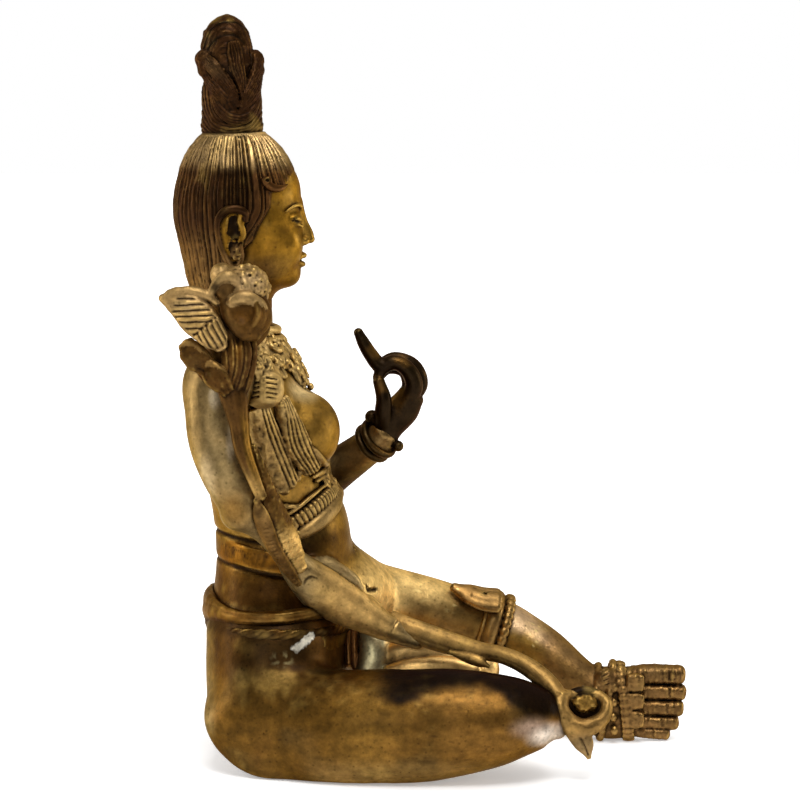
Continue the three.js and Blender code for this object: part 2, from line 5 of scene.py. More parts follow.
import bmesh
import bpy
import numpy as np
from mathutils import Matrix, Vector


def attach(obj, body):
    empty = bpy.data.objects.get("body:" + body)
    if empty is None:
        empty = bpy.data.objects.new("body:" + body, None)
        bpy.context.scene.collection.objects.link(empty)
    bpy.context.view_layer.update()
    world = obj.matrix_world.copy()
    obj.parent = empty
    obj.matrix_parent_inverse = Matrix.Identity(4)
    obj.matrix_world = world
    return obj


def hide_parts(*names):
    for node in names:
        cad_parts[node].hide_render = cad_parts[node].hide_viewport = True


# Millimetres while shapes are worked out, metres once they are meshes.
# The figure faces +X, her left side is +Y, up is +Z, as in the CAD model.
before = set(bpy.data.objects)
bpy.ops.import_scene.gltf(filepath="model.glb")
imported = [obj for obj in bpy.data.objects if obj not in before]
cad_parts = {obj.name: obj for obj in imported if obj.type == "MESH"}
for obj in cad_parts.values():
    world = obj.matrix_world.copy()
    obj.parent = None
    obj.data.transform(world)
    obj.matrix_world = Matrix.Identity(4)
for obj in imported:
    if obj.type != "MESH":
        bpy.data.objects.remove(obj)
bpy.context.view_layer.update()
COARSE = 1.0

# ------------------------------------------------------------ camera geometry
TILT = math.radians(6)
CE, SE = math.cos(TILT), math.sin(TILT)
CAM = np.array([42.25, -1000 * CE, 116.5 + 1000 * SE])
FOCAL = 3077.0                      # pixels, for a picture 800 across


def q(u, v, y):
    """The point in the plane Y = y that the main view shows at (u, v)."""
    a = (400 - v) / FOCAL
    z = CAM[2] + (y - CAM[1]) * (a * CE - SE) / (CE + a * SE)
    depth = (y - CAM[1]) * CE - (z - CAM[2]) * SE
    return np.array([CAM[0] + (u - 400) / FOCAL * depth, y, z])


def q3(rows):
    return [q(u, v, y) for u, v, y in rows]


# ------------------------------------------------------------------ noise
_rng = np.random.default_rng(7)
_LAT = _rng.random((32, 32, 32)).astype(np.float32) * 2 - 1


def noise(P, scale):
    """Smooth noise from -1 to 1; scale is the size of a lump in mm."""
    g = P / np.float32(scale)
    i = np.floor(g).astype(np.int32)
    f = (g - i).astype(np.float32)
    f = f * f * (3 - 2 * f)
    i &= 31
    j = (i + 1) & 31
    fx, fy, fz = f[:, 0], f[:, 1], f[:, 2]

    def at(a, b, c):
        return _LAT[a, b, c]
    x0, y0, z0 = i[:, 0], i[:, 1], i[:, 2]
    x1, y1, z1 = j[:, 0], j[:, 1], j[:, 2]
    a = at(x0, y0, z0) * (1 - fx) + at(x1, y0, z0) * fx
    b = at(x0, y1, z0) * (1 - fx) + at(x1, y1, z0) * fx
    c = at(x0, y0, z1) * (1 - fx) + at(x1, y0, z1) * fx
    d = at(x0, y1, z1) * (1 - fx) + at(x1, y1, z1) * fx
    return (a * (1 - fy) + b * fy) * (1 - fz) + (c * (1 - fy) + d * fy) * fz


def smooth(x, a, b):
    t = np.clip((x - a) / (b - a), 0, 1)
    return t * t * (3 - 2 * t)


# ------------------------------------------------------------------ shapes
class Shape:
    lo = hi = None

    def d(self, P, mid, reach):
        raise NotImplementedError


def turn(axis, ref=(0, 1, 0)):
    """Rows of a frame whose last row is axis."""
    w = np.array(axis, float)
    w /= np.linalg.norm(w)
    u = np.array(ref, float)
    u -= w * u.dot(w)
    if np.linalg.norm(u) < 1e-6:
        u = np.cross(w, (1, 0, 0.3))
    u /= np.linalg.norm(u)
    return np.array([np.cross(u, w), u, w])


class Ball(Shape):
    """An ellipsoid. r is along the frame's rows: across, ref, axis."""

    def __init__(self, c, r, axis=None, ref=(0, 1, 0), power=2.0, relief=None):
        self.c = np.array(c, np.float32)
        self.r = np.array(r if np.ndim(r) else (r, r, r), np.float32)
        self.R = np.array(turn(axis, ref) if axis is not None else np.eye(3), np.float32)
        self.p, self.relief = power, relief
        ext = np.abs(self.R.T * self.r).sum(1) if axis is not None else self.r
        self.lo, self.hi = self.c - ext, self.c + ext

    def d(self, P, mid, reach):
        x = (P - self.c) @ self.R.T / self.r + np.float32(1e-5)
        if self.p == 2.0:
            k0 = np.sqrt(np.einsum('ij,ij->i', x, x))
            k1 = np.sqrt(np.einsum('ij,ij->i', x / self.r, x / self.r))
            out = k0 * (k0 - 1) / k1
        else:
            a = np.abs(x)
            k0 = np.maximum((a ** self.p).sum(1), 1e-9) ** (1 / self.p)
            g = (a / k0[:, None]) ** (self.p - 1) / self.r
            out = (k0 - 1) / np.maximum(np.sqrt((g * g).sum(1)), 1e-6)
        if self.relief is not None:
            out = out - self.relief(x, P)
        return out


def spline(pts, n):
    """Points along a centripetal Catmull-Rom curve, and where each lies in the list."""
    p = np.array(pts, float)
    if len(p) == 1:
        return p, np.zeros(1)
    ext = np.vstack([2 * p[0] - p[1], p, 2 * p[-1] - p[-2]])
    out, par = [], []
    seg = np.linalg.norm(np.diff(p, axis=0), axis=1)
    counts = np.maximum(1, np.round(seg / seg.sum() * n).astype(int))
    for i in range(len(p) - 1):
        p0, p1, p2, p3 = ext[i:i + 4]
        t = [0.0]
        for a, b in ((p0, p1), (p1, p2), (p2, p3)):
            t.append(t[-1] + max(np.linalg.norm(b - a), 1e-6) ** 0.5)
        last = i == len(p) - 2
        s = np.linspace(0, 1, counts[i] + 1)
        if not last:
            s = s[:-1]
        x = t[1] + (t[2] - t[1]) * s
        x = x[:, None]
        A1 = (t[1] - x) / (t[1] - t[0]) * p0 + (x - t[0]) / (t[1] - t[0]) * p1
        A2 = (t[2] - x) / (t[2] - t[1]) * p1 + (x - t[1]) / (t[2] - t[1]) * p2
        A3 = (t[3] - x) / (t[3] - t[2]) * p2 + (x - t[2]) / (t[3] - t[2]) * p3
        B1 = (t[2] - x) / (t[2] - t[0]) * A1 + (x - t[0]) / (t[2] - t[0]) * A2
        B2 = (t[3] - x) / (t[3] - t[1]) * A2 + (x - t[1]) / (t[3] - t[1]) * A3
        out.append((t[2] - x) / (t[2] - t[1]) * B1 + (x - t[1]) / (t[2] - t[1]) * B2)
        par.append(i + s)
    return np.vstack(out), np.concatenate(par)


def easy(values, par):
    """Smooth values along the list, at places par."""
    v = np.array(values, float)
    if v.ndim == 0:
        return np.full(len(par), float(v))
    n = len(v)
    i = np.clip(par.astype(int), 0, n - 2)
    f = par - i
    p0, p1, p2, p3 = v[np.maximum(i - 1, 0)], v[i], v[i + 1], v[np.minimum(i + 2, n - 1)]
    m1, m2 = (p2 - p0) / 2, (p3 - p1) / 2
    if v.ndim > 1:
        f = f[:, None]
    return (2 * f ** 3 - 3 * f ** 2 + 1) * p1 + (f ** 3 - 2 * f ** 2 + f) * m1 + (-2 * f ** 3 + 3 * f ** 2) * p2 + (f ** 3 - f ** 2) * m2


class Tube(Shape):
    """A limb along a smooth path. ra is the half width, rb the half thickness,
    which lies along side. relief gives how far a pattern stands out."""

    def __init__(self, pts, ra, rb=None, side=(0, 1, 0), cap=0.8, relief=None, step=None, closed=False, power=2.0):
        pts = [np.array(p, float) for p in pts]
        ra = np.array(ra, float) if np.ndim(ra) else np.full(len(pts), float(ra))
        rb = ra if rb is None else (np.array(rb, float) if np.ndim(rb) else np.full(len(pts), float(rb)))
        small = float(min(ra.min(), rb.min()))
        length = sum(np.linalg.norm(b - a) for a, b in zip(pts[:-1], pts[1:]))
        step = step or min(max(0.16 * float(min(ra.max(), rb.max())), 0.3), 1.2)
        if closed:
            k = len(pts)
            pts = pts[-2:] + pts + pts[:2]
            ra, rb = np.concatenate([ra[-2:], ra, ra[:2]]), np.concatenate([rb[-2:], rb, rb[:2]])
        C, par = spline(pts, max(4, int(length / step)))
        if closed:
            keep = (par >= 2 - 1e-9) & (par <= k + 2 + 1e-9)
            C, par = C[keep], par[keep]
        T = np.gradient(C, axis=0)
        T /= np.maximum(np.linalg.norm(T, axis=1), 1e-9)[:, None]
        side = np.array(side, float)
        S = easy(side, par) if side.ndim > 1 else np.repeat(side[None], len(C), 0)
        B = S - T * (S * T).sum(1)[:, None]
        bad = np.linalg.norm(B, axis=1) < 1e-4
        if bad.any():
            B[bad] = np.cross(T[bad], (0.3, 0.1, 1.0))
        B /= np.linalg.norm(B, axis=1)[:, None]
        A = np.cross(B, T)
        f = np.float32
        self.C, self.T, self.A, self.B = C.astype(f), T.astype(f), A.astype(f), B.astype(f)
        self.RA, self.RB = np.maximum(easy(ra, par), 0.05).astype(f), np.maximum(easy(rb, par), 0.05).astype(f)
        seg = np.linalg.norm(np.diff(C, axis=0), axis=1)
        self.L = np.concatenate([[0], np.cumsum(seg)]).astype(f)
        gap = np.maximum(np.gradient(self.L), 1e-6)
        self.DA, self.DB = (np.gradient(self.RA) / gap).astype(f), (np.gradient(self.RB) / gap).astype(f)
        self.slope = (1 / np.sqrt(1 + np.minimum(np.maximum(np.abs(self.DA), np.abs(self.DB)), 1.5) ** 2)).astype(f)
        self.cc = (self.C ** 2).sum(1)
        self.cap, self.relief, self.closed, self.power = cap, relief, closed, power
        self.total = float(self.L[-1])
        ext = np.maximum(self.RA, self.RB)[:, None] * 1.05
        self.lo, self.hi = (self.C - ext).min(0), (self.C + ext).max(0)

    def d(self, P, mid, reach):
        if mid is not None:
            away = np.sqrt(((self.C - mid) ** 2).sum(1))
            idx = np.nonzero(away <= away.min() + 2 * reach + 0.01)[0]
        else:
            idx = np.arange(len(self.C))
        C = self.C[idx] - (mid if mid is not None else 0)
        Q = P - mid if mid is not None else P
        D = (C * C).sum(1)[None] - 2 * (Q @ C.T)
        j = idx[D.argmin(1)]
        w = P - self.C[j]
        T = self.T[j]
        l = np.einsum('ij,ij->i', w, T)
        a = np.einsum('ij,ij->i', w, self.A[j])
        b = np.einsum('ij,ij->i', w, self.B[j])
        if self.closed:
            over = np.zeros_like(l)
        else:
            last = len(self.C) - 1
            over = np.where((j == 0) & (l < 0), -l, 0) + np.where((j == last) & (l > 0), l, 0)
        li = np.clip(l, -2, 2) * (over == 0)
        ra = np.maximum(self.RA[j] + li * self.DA[j], 0.05)
        rb = np.maximum(self.RB[j] + li * self.DB[j], 0.05)
        rc = np.minimum(ra, rb) * self.cap
        x, y, z = a / ra, b / rb, over / rc
        if self.power == 2.0:
            k0 = np.sqrt(x * x + y * y + z * z) + 1e-5
            k1 = np.sqrt((x / ra) ** 2 + (y / rb) ** 2 + (z / rc) ** 2) + 1e-6
            out = k0 * (k0 - 1) / k1
        else:
            p = self.power
            ax, ay, az = np.abs(x), np.abs(y), np.abs(z)
            k0 = (ax ** p + ay ** p + az ** p) ** (1 / p) + 1e-5
            g = np.sqrt(((ax / k0) ** (p - 1) / ra) ** 2 + ((ay / k0) ** (p - 1) / rb) ** 2 + ((az / k0) ** (p - 1) / rc) ** 2)
            out = (k0 - 1) / np.maximum(g, 1e-5)
        out = out * self.slope[j]
        if self.relief is not None:
            out = out - self.relief(self.L[j] + l, x, y, np.sqrt(x * x + y * y), a, b, P)
        return out


class Loft(Shape):
    """A trunk: at each height a front, a back and a half breadth."""

    def __init__(self, rows, power=2.25):
        r = np.array(rows, float)
        par = np.linspace(0, len(r) - 1, 240)
        z = easy(r[:, 0], par)
        cols = [easy(r[:, i], par) for i in (1, 2, 3)]
        self.z = z
        self.cx, self.rx, self.ry = (cols[0] + cols[1]) / 2, (cols[0] - cols[1]) / 2, cols[2]
        sl = np.sqrt(1 + np.minimum(np.abs(np.gradient(self.ry, z)), 1.6) ** 2)
        self.sl = 1 / sl
        self.p = power
        self.lo = np.array([(self.cx - self.rx).min(), -self.ry.max(), z[0]])
        self.hi = np.array([(self.cx + self.rx).max(), self.ry.max(), z[-1]])

    def d(self, P, mid, reach):
        z = P[:, 2]
        f = np.float32
        cx = np.interp(z, self.z, self.cx).astype(f)
        rx = np.interp(z, self.z, self.rx).astype(f)
        ry = np.interp(z, self.z, self.ry).astype(f)
        sl = np.interp(z, self.z, self.sl).astype(f)
        ax, ay = np.abs(P[:, 0] - cx) / rx, np.abs(P[:, 1]) / ry
        p = self.p
        k0 = (ax ** p + ay ** p) ** (1 / p) + 1e-5
        g = np.sqrt(((ax / k0) ** (p - 1) / rx) ** 2 + ((ay / k0) ** (p - 1) / ry) ** 2)
        out = (k0 - 1) / np.maximum(g, 1e-4) * sl
        return np.maximum(out, np.maximum(z - self.z[-1], self.z[0] - z))


class Make(Shape):
    """A shape given by a function of the points."""

    def __init__(self, fn, lo, hi):
        self.fn, self.lo, self.hi = fn, np.array(lo, float), np.array(hi, float)

    def d(self, P, mid, reach):
        return self.fn(P)


def flip(shape):
    """The same shape on the other side of the figure."""
    class Other(Shape):
        lo = np.array([shape.lo[0], -shape.hi[1], shape.lo[2]])
        hi = np.array([shape.hi[0], -shape.lo[1], shape.hi[2]])

        def d(self, P, mid, reach):
            P = P * np.array([1, -1, 1], np.float32)
            if mid is not None:
                mid = mid * np.array([1, -1, 1], np.float32)
            return shape.d(P, mid, reach)
    return Other()


# ------------------------------------------------------------------ field
FAR = np.float32(60)


class Field:
    """One closed piece, made of shapes added, cut and carved in order."""

    def __init__(self, name, h, tris, style="skin"):
        self.name, self.h, self.tris, self.style = name, h * COARSE, tris, style
        self.ops = []

    def _op(self, kind, shape, k, tag, pad=None):
        pad = k + 2.5 if pad is None else pad
        self.ops.append((kind, shape, np.float32(k), tag, np.array(shape.lo) - pad, np.array(shape.hi) + pad))
        return self

    def add(self, shape, k=1.0, tag=0):
        return self._op('add', shape, k, tag)

    def both(self, shape, k=1.0, tag=0):
        self.add(shape, k, tag)
        return self.add(flip(shape), k, tag)

    def cut(self, shape, k=0.3, tag=None):
        return self._op('cut', shape, k, tag)

    def cut2(self, shape, k=0.3, tag=None):
        self.cut(shape, k, tag)
        return self.cut(flip(shape), k, tag)

    def keep(self, fn, k=0.0):
        """Only where fn(P) is below zero."""
        big = np.full(3, 1e4)
        self.ops.append(('keep', Make(fn, -big, big), np.float32(k), None, -big, big))
        return self

    def carve(self, fn, lo, hi):
        """fn(P, d) gives how far the surface is pushed out."""
        lo, hi = np.array(lo, float), np.array(hi, float)
        self.ops.append(('carve', fn, np.float32(0), None, lo, hi))
        return self

    def box(self):
        lo = np.min([op[1].lo for op in self.ops if op[0] == 'add'], 0)
        hi = np.max([op[1].hi for op in self.ops if op[0] == 'add'], 0)
        return lo, hi

    def value(self, P, lo=None, hi=None, mid=None, reach=0, tags=False):
        d = np.full(len(P), FAR, np.float32)
        tag = np.zeros(len(P), np.uint8)
        for kind, shape, k, t, a, b in self.ops:
            if lo is not None and ((b < lo).any() or (a > hi).any()):
                continue
            if kind == 'carve':
                near = np.abs(d) < 3.0
                if lo is None:
                    near &= ((P > a) & (P < b)).all(1)
                if near.any():
                    d[near] -= shape(P[near], d[near]).astype(np.float32)
                continue
            s = shape.d(P, mid, reach)
            if kind == 'add':
                if tags:
                    tag[s < d] = t
                m = np.minimum(d, s)
                if k > 0:
                    h = np.maximum(k - np.abs(d - s), 0) / k
                    m -= h * h * k * np.float32(0.25)
                d = m
            elif kind == 'cut':
                s = -s
                if tags and t is not None:
                    tag[(s > d - 0.15) & (s > -0.6)] = t
                m = np.maximum(d, s)
                if k > 0:
                    h = np.maximum(k - np.abs(d - s), 0) / k
                    m += h * h * k * np.float32(0.25)
                d = m
            else:
                m = np.maximum(d, s)
                if k > 0:
                    h = np.maximum(k - np.abs(d - s), 0) / k
                    m += h * h * k * np.float32(0.25)
                d = m
        return (d, tag) if tags else d

    def grid(self):
        h = self.h
        lo, hi = self.box()
        lo, hi = lo - 2.2, hi + 2.2
        lo = np.floor(lo / h) * h
        N = 16
        nb = np.ceil((hi - lo) / (h * N)).astype(int)
        shape = nb * N
        D = np.full(shape, FAR, np.float32)
        G = np.zeros(shape, np.uint8)
        # where the surface can be: a coarse look first
        sub = 3
        step = N * h / sub
        ax = [lo[i] + (np.arange(nb[i] * sub) + 0.5) * step for i in range(3)]
        big = 8
        coarse = np.full([len(a) for a in ax], FAR, np.float32)
        cells = [(i, j, k) for i in range(0, len(ax[0]), big) for j in range(0, len(ax[1]), big) for k in range(0, len(ax[2]), big)]

        def look(c):
            sl = tuple(slice(c[i], min(c[i] + big, len(ax[i]))) for i in range(3))
            X, Y, Z = np.meshgrid(ax[0][sl[0]], ax[1][sl[1]], ax[2][sl[2]], indexing='ij')
            P = np.stack([X.ravel(), Y.ravel(), Z.ravel()], 1).astype(np.float32)
            a, b = P.min(0) - step / 2, P.max(0) + step / 2
            mid = (a + b) / 2
            coarse[sl] = self.value(P, a, b, mid.astype(np.float32), float(np.linalg.norm(b - a) / 2)).reshape(X.shape)
        with ThreadPoolExecutor(4) as ex:
            list(ex.map(look, cells))
        c = coarse.reshape(nb[0], sub, nb[1], sub, nb[2], sub)
        near = np.abs(c).min((1, 3, 5)) < step * 0.87 * 1.3 + 1.2
        mixed = (c < 0).any((1, 3, 5)) & (c > 0).any((1, 3, 5))
        active = np.argwhere(near | mixed)
        centre_in = c[:, 1, :, 1, :, 1] < 0
        for b in np.argwhere(~(near | mixed) & centre_in):
            D[b[0] * N:(b[0] + 1) * N, b[1] * N:(b[1] + 1) * N, b[2] * N:(b[2] + 1) * N] = -FAR
        g = (np.arange(N) * h).astype(np.float32)
        GX, GY, GZ = [x.ravel() for x in np.meshgrid(g, g, g, indexing='ij')]
        base = np.stack([GX, GY, GZ], 1)
        reach = float(N * h * math.sqrt(3) / 2)

        def fill(b):
            o = (lo + b * N * h).astype(np.float32)
            P = base + o
            a, e = o, o + N * h
            d, t = self.value(P, a, e, (o + N * h / 2).astype(np.float32), reach, tags=True)
            sl = tuple(slice(b[i] * N, (b[i] + 1) * N) for i in range(3))
            D[sl] = d.reshape(N, N, N)
            G[sl] = t.reshape(N, N, N)
        with ThreadPoolExecutor(4) as ex:
            list(ex.map(fill, active))
        self.D, self.G, self.lo = D, G, lo
        return D


def sample(D, lo, h, P, clip=None):
    g = (P - lo) / h
    i = np.clip(np.floor(g).astype(np.int32), 0, np.array(D.shape) - 2)
    f = (g - i).astype(np.float32)
    s = np.array([D.shape[1] * D.shape[2], D.shape[2], 1])
    n = (i * s).sum(1)
    flat = D.reshape(-1)
    out = 0
    for dx in (0, 1):
        wx = f[:, 0] if dx else 1 - f[:, 0]
        for dy in (0, 1):
            wy = f[:, 1] if dy else 1 - f[:, 1]
            for dz in (0, 1):
                wz = f[:, 2] if dz else 1 - f[:, 2]
                v = flat[n + dx * s[0] + dy * s[1] + dz]
                if clip is not None:
                    v = np.clip(v, -clip, clip)
                out = out + wx * wy * wz * v
    return out


def gradient(D, lo, h, P):
    out = np.empty((len(P), 3), np.float32)
    for i in range(3):
        e = np.zeros(3)
        e[i] = 0.55 * h
        out[:, i] = sample(D, lo, h, P + e, 4 * h) - sample(D, lo, h, P - e, 4 * h)
    return out


def nets(D, lo, h):
    """A closed surface through the zero of D: one corner a cell, one quad a crossing edge."""
    inside = D < 0
    count = np.zeros([n - 1 for n in D.shape], np.uint8)
    offs = [(a, b, c) for a in (0, 1) for b in (0, 1) for c in (0, 1)]
    for a, b, c in offs:
        count += inside[a:D.shape[0] - 1 + a, b:D.shape[1] - 1 + b, c:D.shape[2] - 1 + c]
    active = (count > 0) & (count < 8)
    I = np.argwhere(active)
    index = np.full(active.shape, -1, np.int32)
    index[active] = np.arange(len(I), dtype=np.int32)
    val = {o: D[I[:, 0] + o[0], I[:, 1] + o[1], I[:, 2] + o[2]] for o in offs}
    acc = np.zeros((len(I), 3), np.float32)
    cnt = np.zeros(len(I), np.float32)
    for o in offs:
        for axis in range(3):
            if o[axis]:
                continue
            e = list(o)
            e[axis] = 1
            va, vb = val[o], val[tuple(e)]
            cross = (va < 0) != (vb < 0)
            t = va / np.where(cross, va - vb, 1)
            for k in range(3):
                acc[:, k] += cross * ((t if k == axis else 0) + o[k])
            cnt += cross
    V = lo + h * (I + acc / cnt[:, None])
    quads = []
    for axis in range(3):
        u, w = [(1, 2), (2, 0), (0, 1)][axis]
        sa = [slice(1, -1)] * 3
        sb = [slice(1, -1)] * 3
        sa[axis], sb[axis] = slice(0, -1), slice(1, None)
        A, B = inside[tuple(sa)], inside[tuple(sb)]
        E = np.argwhere(A != B)
        start = A[tuple(E.T)]
        off = np.array([1, 1, 1])
        off[axis] = 0
        E = E + off

        def cell(du, dw):
            F = E.copy()
            F[:, u] += du
            F[:, w] += dw
            return index[F[:, 0], F[:, 1], F[:, 2]]
        Q = np.stack([cell(-1, -1), cell(0, -1), cell(0, 0), cell(-1, 0)], 1)
        Q[~start] = Q[~start][:, ::-1]
        quads.append(Q)
    return V, np.vstack(quads)


# ================================================================== pieces
fields = []


def piece(name, h, tris, style):
    f = Field(name, h, tris, style)
    fields.append(f)
    return f


def strands(n, amp, sharp=0.6):
    """Parallel strands along a lock or a pleated cloth."""
    def f(L, x, y, rho, a, b, P):
        near = np.clip(1 - np.abs(rho - 1) * 1.2, 0, 1)
        return amp * (np.abs(np.cos(np.pi * n * x / 2)) ** sharp - 1) * near * (np.abs(x) < 1.15)
    return f


def ribs(pitch, amp, lo=-9.0, hi=9.0, sharp=0.7):
    """Short ribs across a form, from lo to hi of its half width."""
    def f(L, x, y, rho, a, b, P):
        on = smooth(x, lo, lo + 0.15) * (1 - smooth(x, hi - 0.15, hi))
        return amp * (np.abs(np.cos(np.pi * L / pitch)) ** sharp - 1) * on * np.clip(1 - np.abs(rho - 1) * 1.2, 0, 1)
    return f


# ------------------------------------------------------------------- head
head = piece("head", 0.34, 140000, "head")
# DARK gives cut grooves, pits, bowls and a recessed ring a near black tone: painted shade
SKIN, HAIR, ORN, DARK, STEM, GREY, BAND, PALE, ARM, THIGH = range(10)
HAIR_Z = [140, 152, 158, 162, 166, 169, 174.5, 180, 184.6, 185.8, 189.5, 193, 196, 212]
HAIR_X = [-19, -16.5, -14.5, -11.5, -8.2, -4.8, -2.2, 1.0, 1.2, 4.8, 7.4, 9.4, 14, 26]
STRANDS = 68
_amp = (0.45 + 0.95 * _rng.random(STRANDS + 4)).astype(np.float32)


def hair(P):
    x, y, z = P[:, 0], P[:, 1], P[:, 2]

    def sup(cx, cz, rx, ry, rz, p):
        a, b, c = np.abs(x - cx) / rx, np.abs(y) / ry, np.abs(z - cz) / rz
        k = (a ** p + b ** p + c ** p + 1e-6) ** (1 / p)
        g = np.sqrt(((a / k) ** (p - 1) / rx) ** 2 + ((b / k) ** (p - 1) / ry) ** 2 + ((c / k) ** (p - 1) / rz) ** 2)
        return (k - 1) / np.maximum(g, 1e-5)
    cap = sup(-10.2, 179.0, 20.8, 17.7, 24.0, 2.1)
    nape = sup(-15.0, 162.5, 12.6, 13.4, 17.0, 2.1)
    h = np.maximum(4 - np.abs(cap - nape), 0) / 4
    d = np.minimum(cap, nape) - h * h
    # the shoulder of hair drawn up into the knot
    flat = np.interp(z, [196, 202], [1.17, 1.0])
    cone = (np.sqrt((x + 11.4) ** 2 + (y * flat) ** 2) - np.interp(z, [186, 192, 196, 198.4, 200.7, 203], [12, 15.2, 14.5, 13.4, 11.8, 9.8])) * 0.72
    cone = np.maximum(cone, np.maximum(z - 203, 186 - z))
    h = np.maximum(4.5 - np.abs(d - cone), 0) / 4.5
    d = np.minimum(d, cone) - h * h * 4.5 * 0.25
    # combed strands fan out from the knot down to the hairline and the nape
    bend = 6.0 * smooth(180 - z, 0, 13) * smooth(x, -13, -6)
    phi = np.arctan2(y, x + bend + 11.5)
    front = smooth(np.cos(phi), -0.55, 0.35)
    warp = 0.030 * np.sin(9 * phi + 0.8) + 0.016 * np.sin(21 * phi + 2.1) + 0.010 * np.sin(37 * phi)
    ph = (phi + warp + (0.020 - 0.008 * front) * noise(P * np.array([1, 1, 0.35], np.float32), 3.4)) * STRANDS / (2 * np.pi)
    k = np.floor(ph + 0.5).astype(int) % STRANDS
    ridge = np.abs(np.cos(np.pi * ph)) ** 0.55
    fade = (1 - smooth(z, 201.6, 202.6)) * smooth(z, 150, 153)
    strand = (0.62 + 0.55 * front * smooth(z, 174, 184)) * _amp[k] * (ridge - 0.85) * fade + 0.16 * noise(P * np.array([1, 1, 0.4], np.float32), 1.5) * fade
    d = d - strand
    edge = (x - np.interp(z, HAIR_Z, HAIR_X)) * 0.72
    h = np.maximum(0.5 - np.abs(d - edge), 0) / 0.5
    return (np.maximum(d, edge) + h * h * 0.125).astype(np.float32)


head.add(Tube([(-9.6, 0, 136), (-9.3, 0, 143), (-9.1, 0, 150), (-8.4, 0, 158)], [10.6, 10.3, 10, 10.2], side=(1, 0, 0)), 1, SKIN)
head.add(Ball((-3.4, 0, 173), (14.4, 14.4, 20)), 3, SKIN)
head.add(Ball((-5.6, 0, 185.5), (15.4, 14.6, 12)), 4, SKIN)
head.add(Ball((0.0, 0, 161.8), (9.4, 10.8, 9.0)), 5, SKIN)
head.add(Ball((6.3, 0, 157.2), (3.5, 4.6, 3.5)), 2.8, SKIN)
head.both(Ball((4.9, -6.8, 167.2), (5.2, 4.8, 5.6)), 4, SKIN)
head.cut2(Ball((12.4, -6.0, 176.6), (3.0, 4.8, 2.5), (0.9, 0, 0.1)), 2.2)
head.add(Tube([(9.3, 0, 180.5), (10.9, 0, 175), (12.5, 0, 170.8), (13.3, 0, 168.6)], [1.5, 1.35, 1.8, 1.9], [1.2, 1.3, 1.7, 1.5], side=(1, 0, 0.3)), 2.0, SKIN)
head.both(Ball((11.3, -2.05, 168.2), (1.7, 1.35, 1.35)), 0.9, SKIN)
head.cut2(Ball((12.1, -1.05, 166.9), (0.9, 0.6, 0.5)), 0.3)
# eyes half closed, looking down
head.both(Ball((7.5, -5.9, 175.6), (3.3, 4.0, 2.45)), 0.7, SKIN)
head.cut2(Tube([(10.6, -2.6, 174.9), (11.2, -5.0, 174.2), (10.2, -7.6, 174.5), (7.9, -10.2, 175.6)], [0.26, 0.4, 0.36, 0.2]), 0.25, DARK)
head.both(Tube([(10.3, -2.9, 174.4), (10.9, -5.2, 173.3), (9.6, -8.0, 173.8)], [0.3, 0.42, 0.25]), 0.7, SKIN)
head.cut2(Tube([(11.0, -2.4, 177.4), (11.3, -5.3, 178.2), (9.4, -8.6, 178.0)], [0.2, 0.3, 0.2]), 0.4, DARK)
head.both(Tube([(10.5, -2.2, 178.6), (10.3, -5.2, 179.9), (8.6, -8.6, 179.9), (5.9, -11.4, 178.2)], [0.4, 0.55, 0.5, 0.25], [0.5, 0.6, 0.5, 0.3], side=(0, 0, 1)), 0.5, SKIN)
# mouth
head.both(Tube([(11.0, 0.4, 163.5), (10.9, -1.5, 163.7), (9.8, -3.3, 163.0), (8.6, -4.7, 162.3)], [1.0, 0.95, 0.75, 0.25], [0.8, 0.75, 0.6, 0.2], side=(0, 0, 1)), 0.7, SKIN)
head.add(Tube([(8.7, -3.9, 161.6), (10.2, -1.8, 160.9), (10.6, 0, 160.7), (10.2, 1.8, 160.9), (8.7, 3.9, 161.6)], [0.45, 1.0, 1.15, 1.0, 0.45], [0.4, 0.85, 0.95, 0.85, 0.4], side=(0, 0, 1)), 0.7, SKIN)
head.cut(Tube([(8.4, -4.9, 162.3), (10.9, -2.0, 162.1), (11.7, 0, 161.9), (10.9, 2.0, 162.1), (8.4, 4.9, 162.3)], [0.2, 0.3, 0.34, 0.3, 0.2]), 0.2, DARK)
head.cut(Tube([(12.2, 0, 166.2), (11.7, 0, 164.8)], [0.35, 0.5]), 0.7)
# creases of the neck
for z in (146.6, 149.8):
    head.cut(Tube([(-9.2 + 10.35 * math.cos(a), 10.35 * math.sin(a), z - 0.5 * math.cos(a)) for a in np.linspace(0, 2 * math.pi, 17)[:-1]], 0.28, closed=True), 0.5)
head.add(Make(hair, (-31.5, -18.5, 144), (12, 18.5, 204)), 0.35, HAIR)
# line along the edge of the hair
edge = [(0.7, 187.4), (1.5, 184.6), (1.3, 180.2), (-1.7, 174.6), (-4.2, 169.8), (-6.2, 168.4)]


def head_y(x, z):
    """Half breadth of the hair there."""
    y = 16.0
    for _ in range(30):
        d = float(hair(np.array([[x, -y, z]], np.float32))[0])
        y -= max(min(d, 1.0), -1.0) * 0.8
        if abs(d) < 0.02:
            break
    return y


def on_head(u, v, out=0.0):
    y = -15.0
    for _ in range(6):
        p = q(u, v, y)
        a, b = (abs(p[0] + 10.2) / 20.8) ** 2.25, (abs(p[2] - 179.5) / 24) ** 2.25
        y = -17.7 * max(1 - a - b, 0.02) ** (1 / 2.25)
        if p[2] < 168:
            y = min(y, -13.4 * max(1 - ((p[0] + 15) / 12.6) ** 2 - ((p[2] - 162.5) / 17) ** 2, 0.02) ** 0.5)
    p = q(u, v, y)
    p[1] -= out
    return p


head.cut2(Tube([on_head(u, v, -0.25) for u, v in [(270, 193), (271.5, 204), (268, 214), (261, 224.5), (254, 237)]], [0.3, 0.42, 0.45, 0.42, 0.25]), 0.25, DARK)
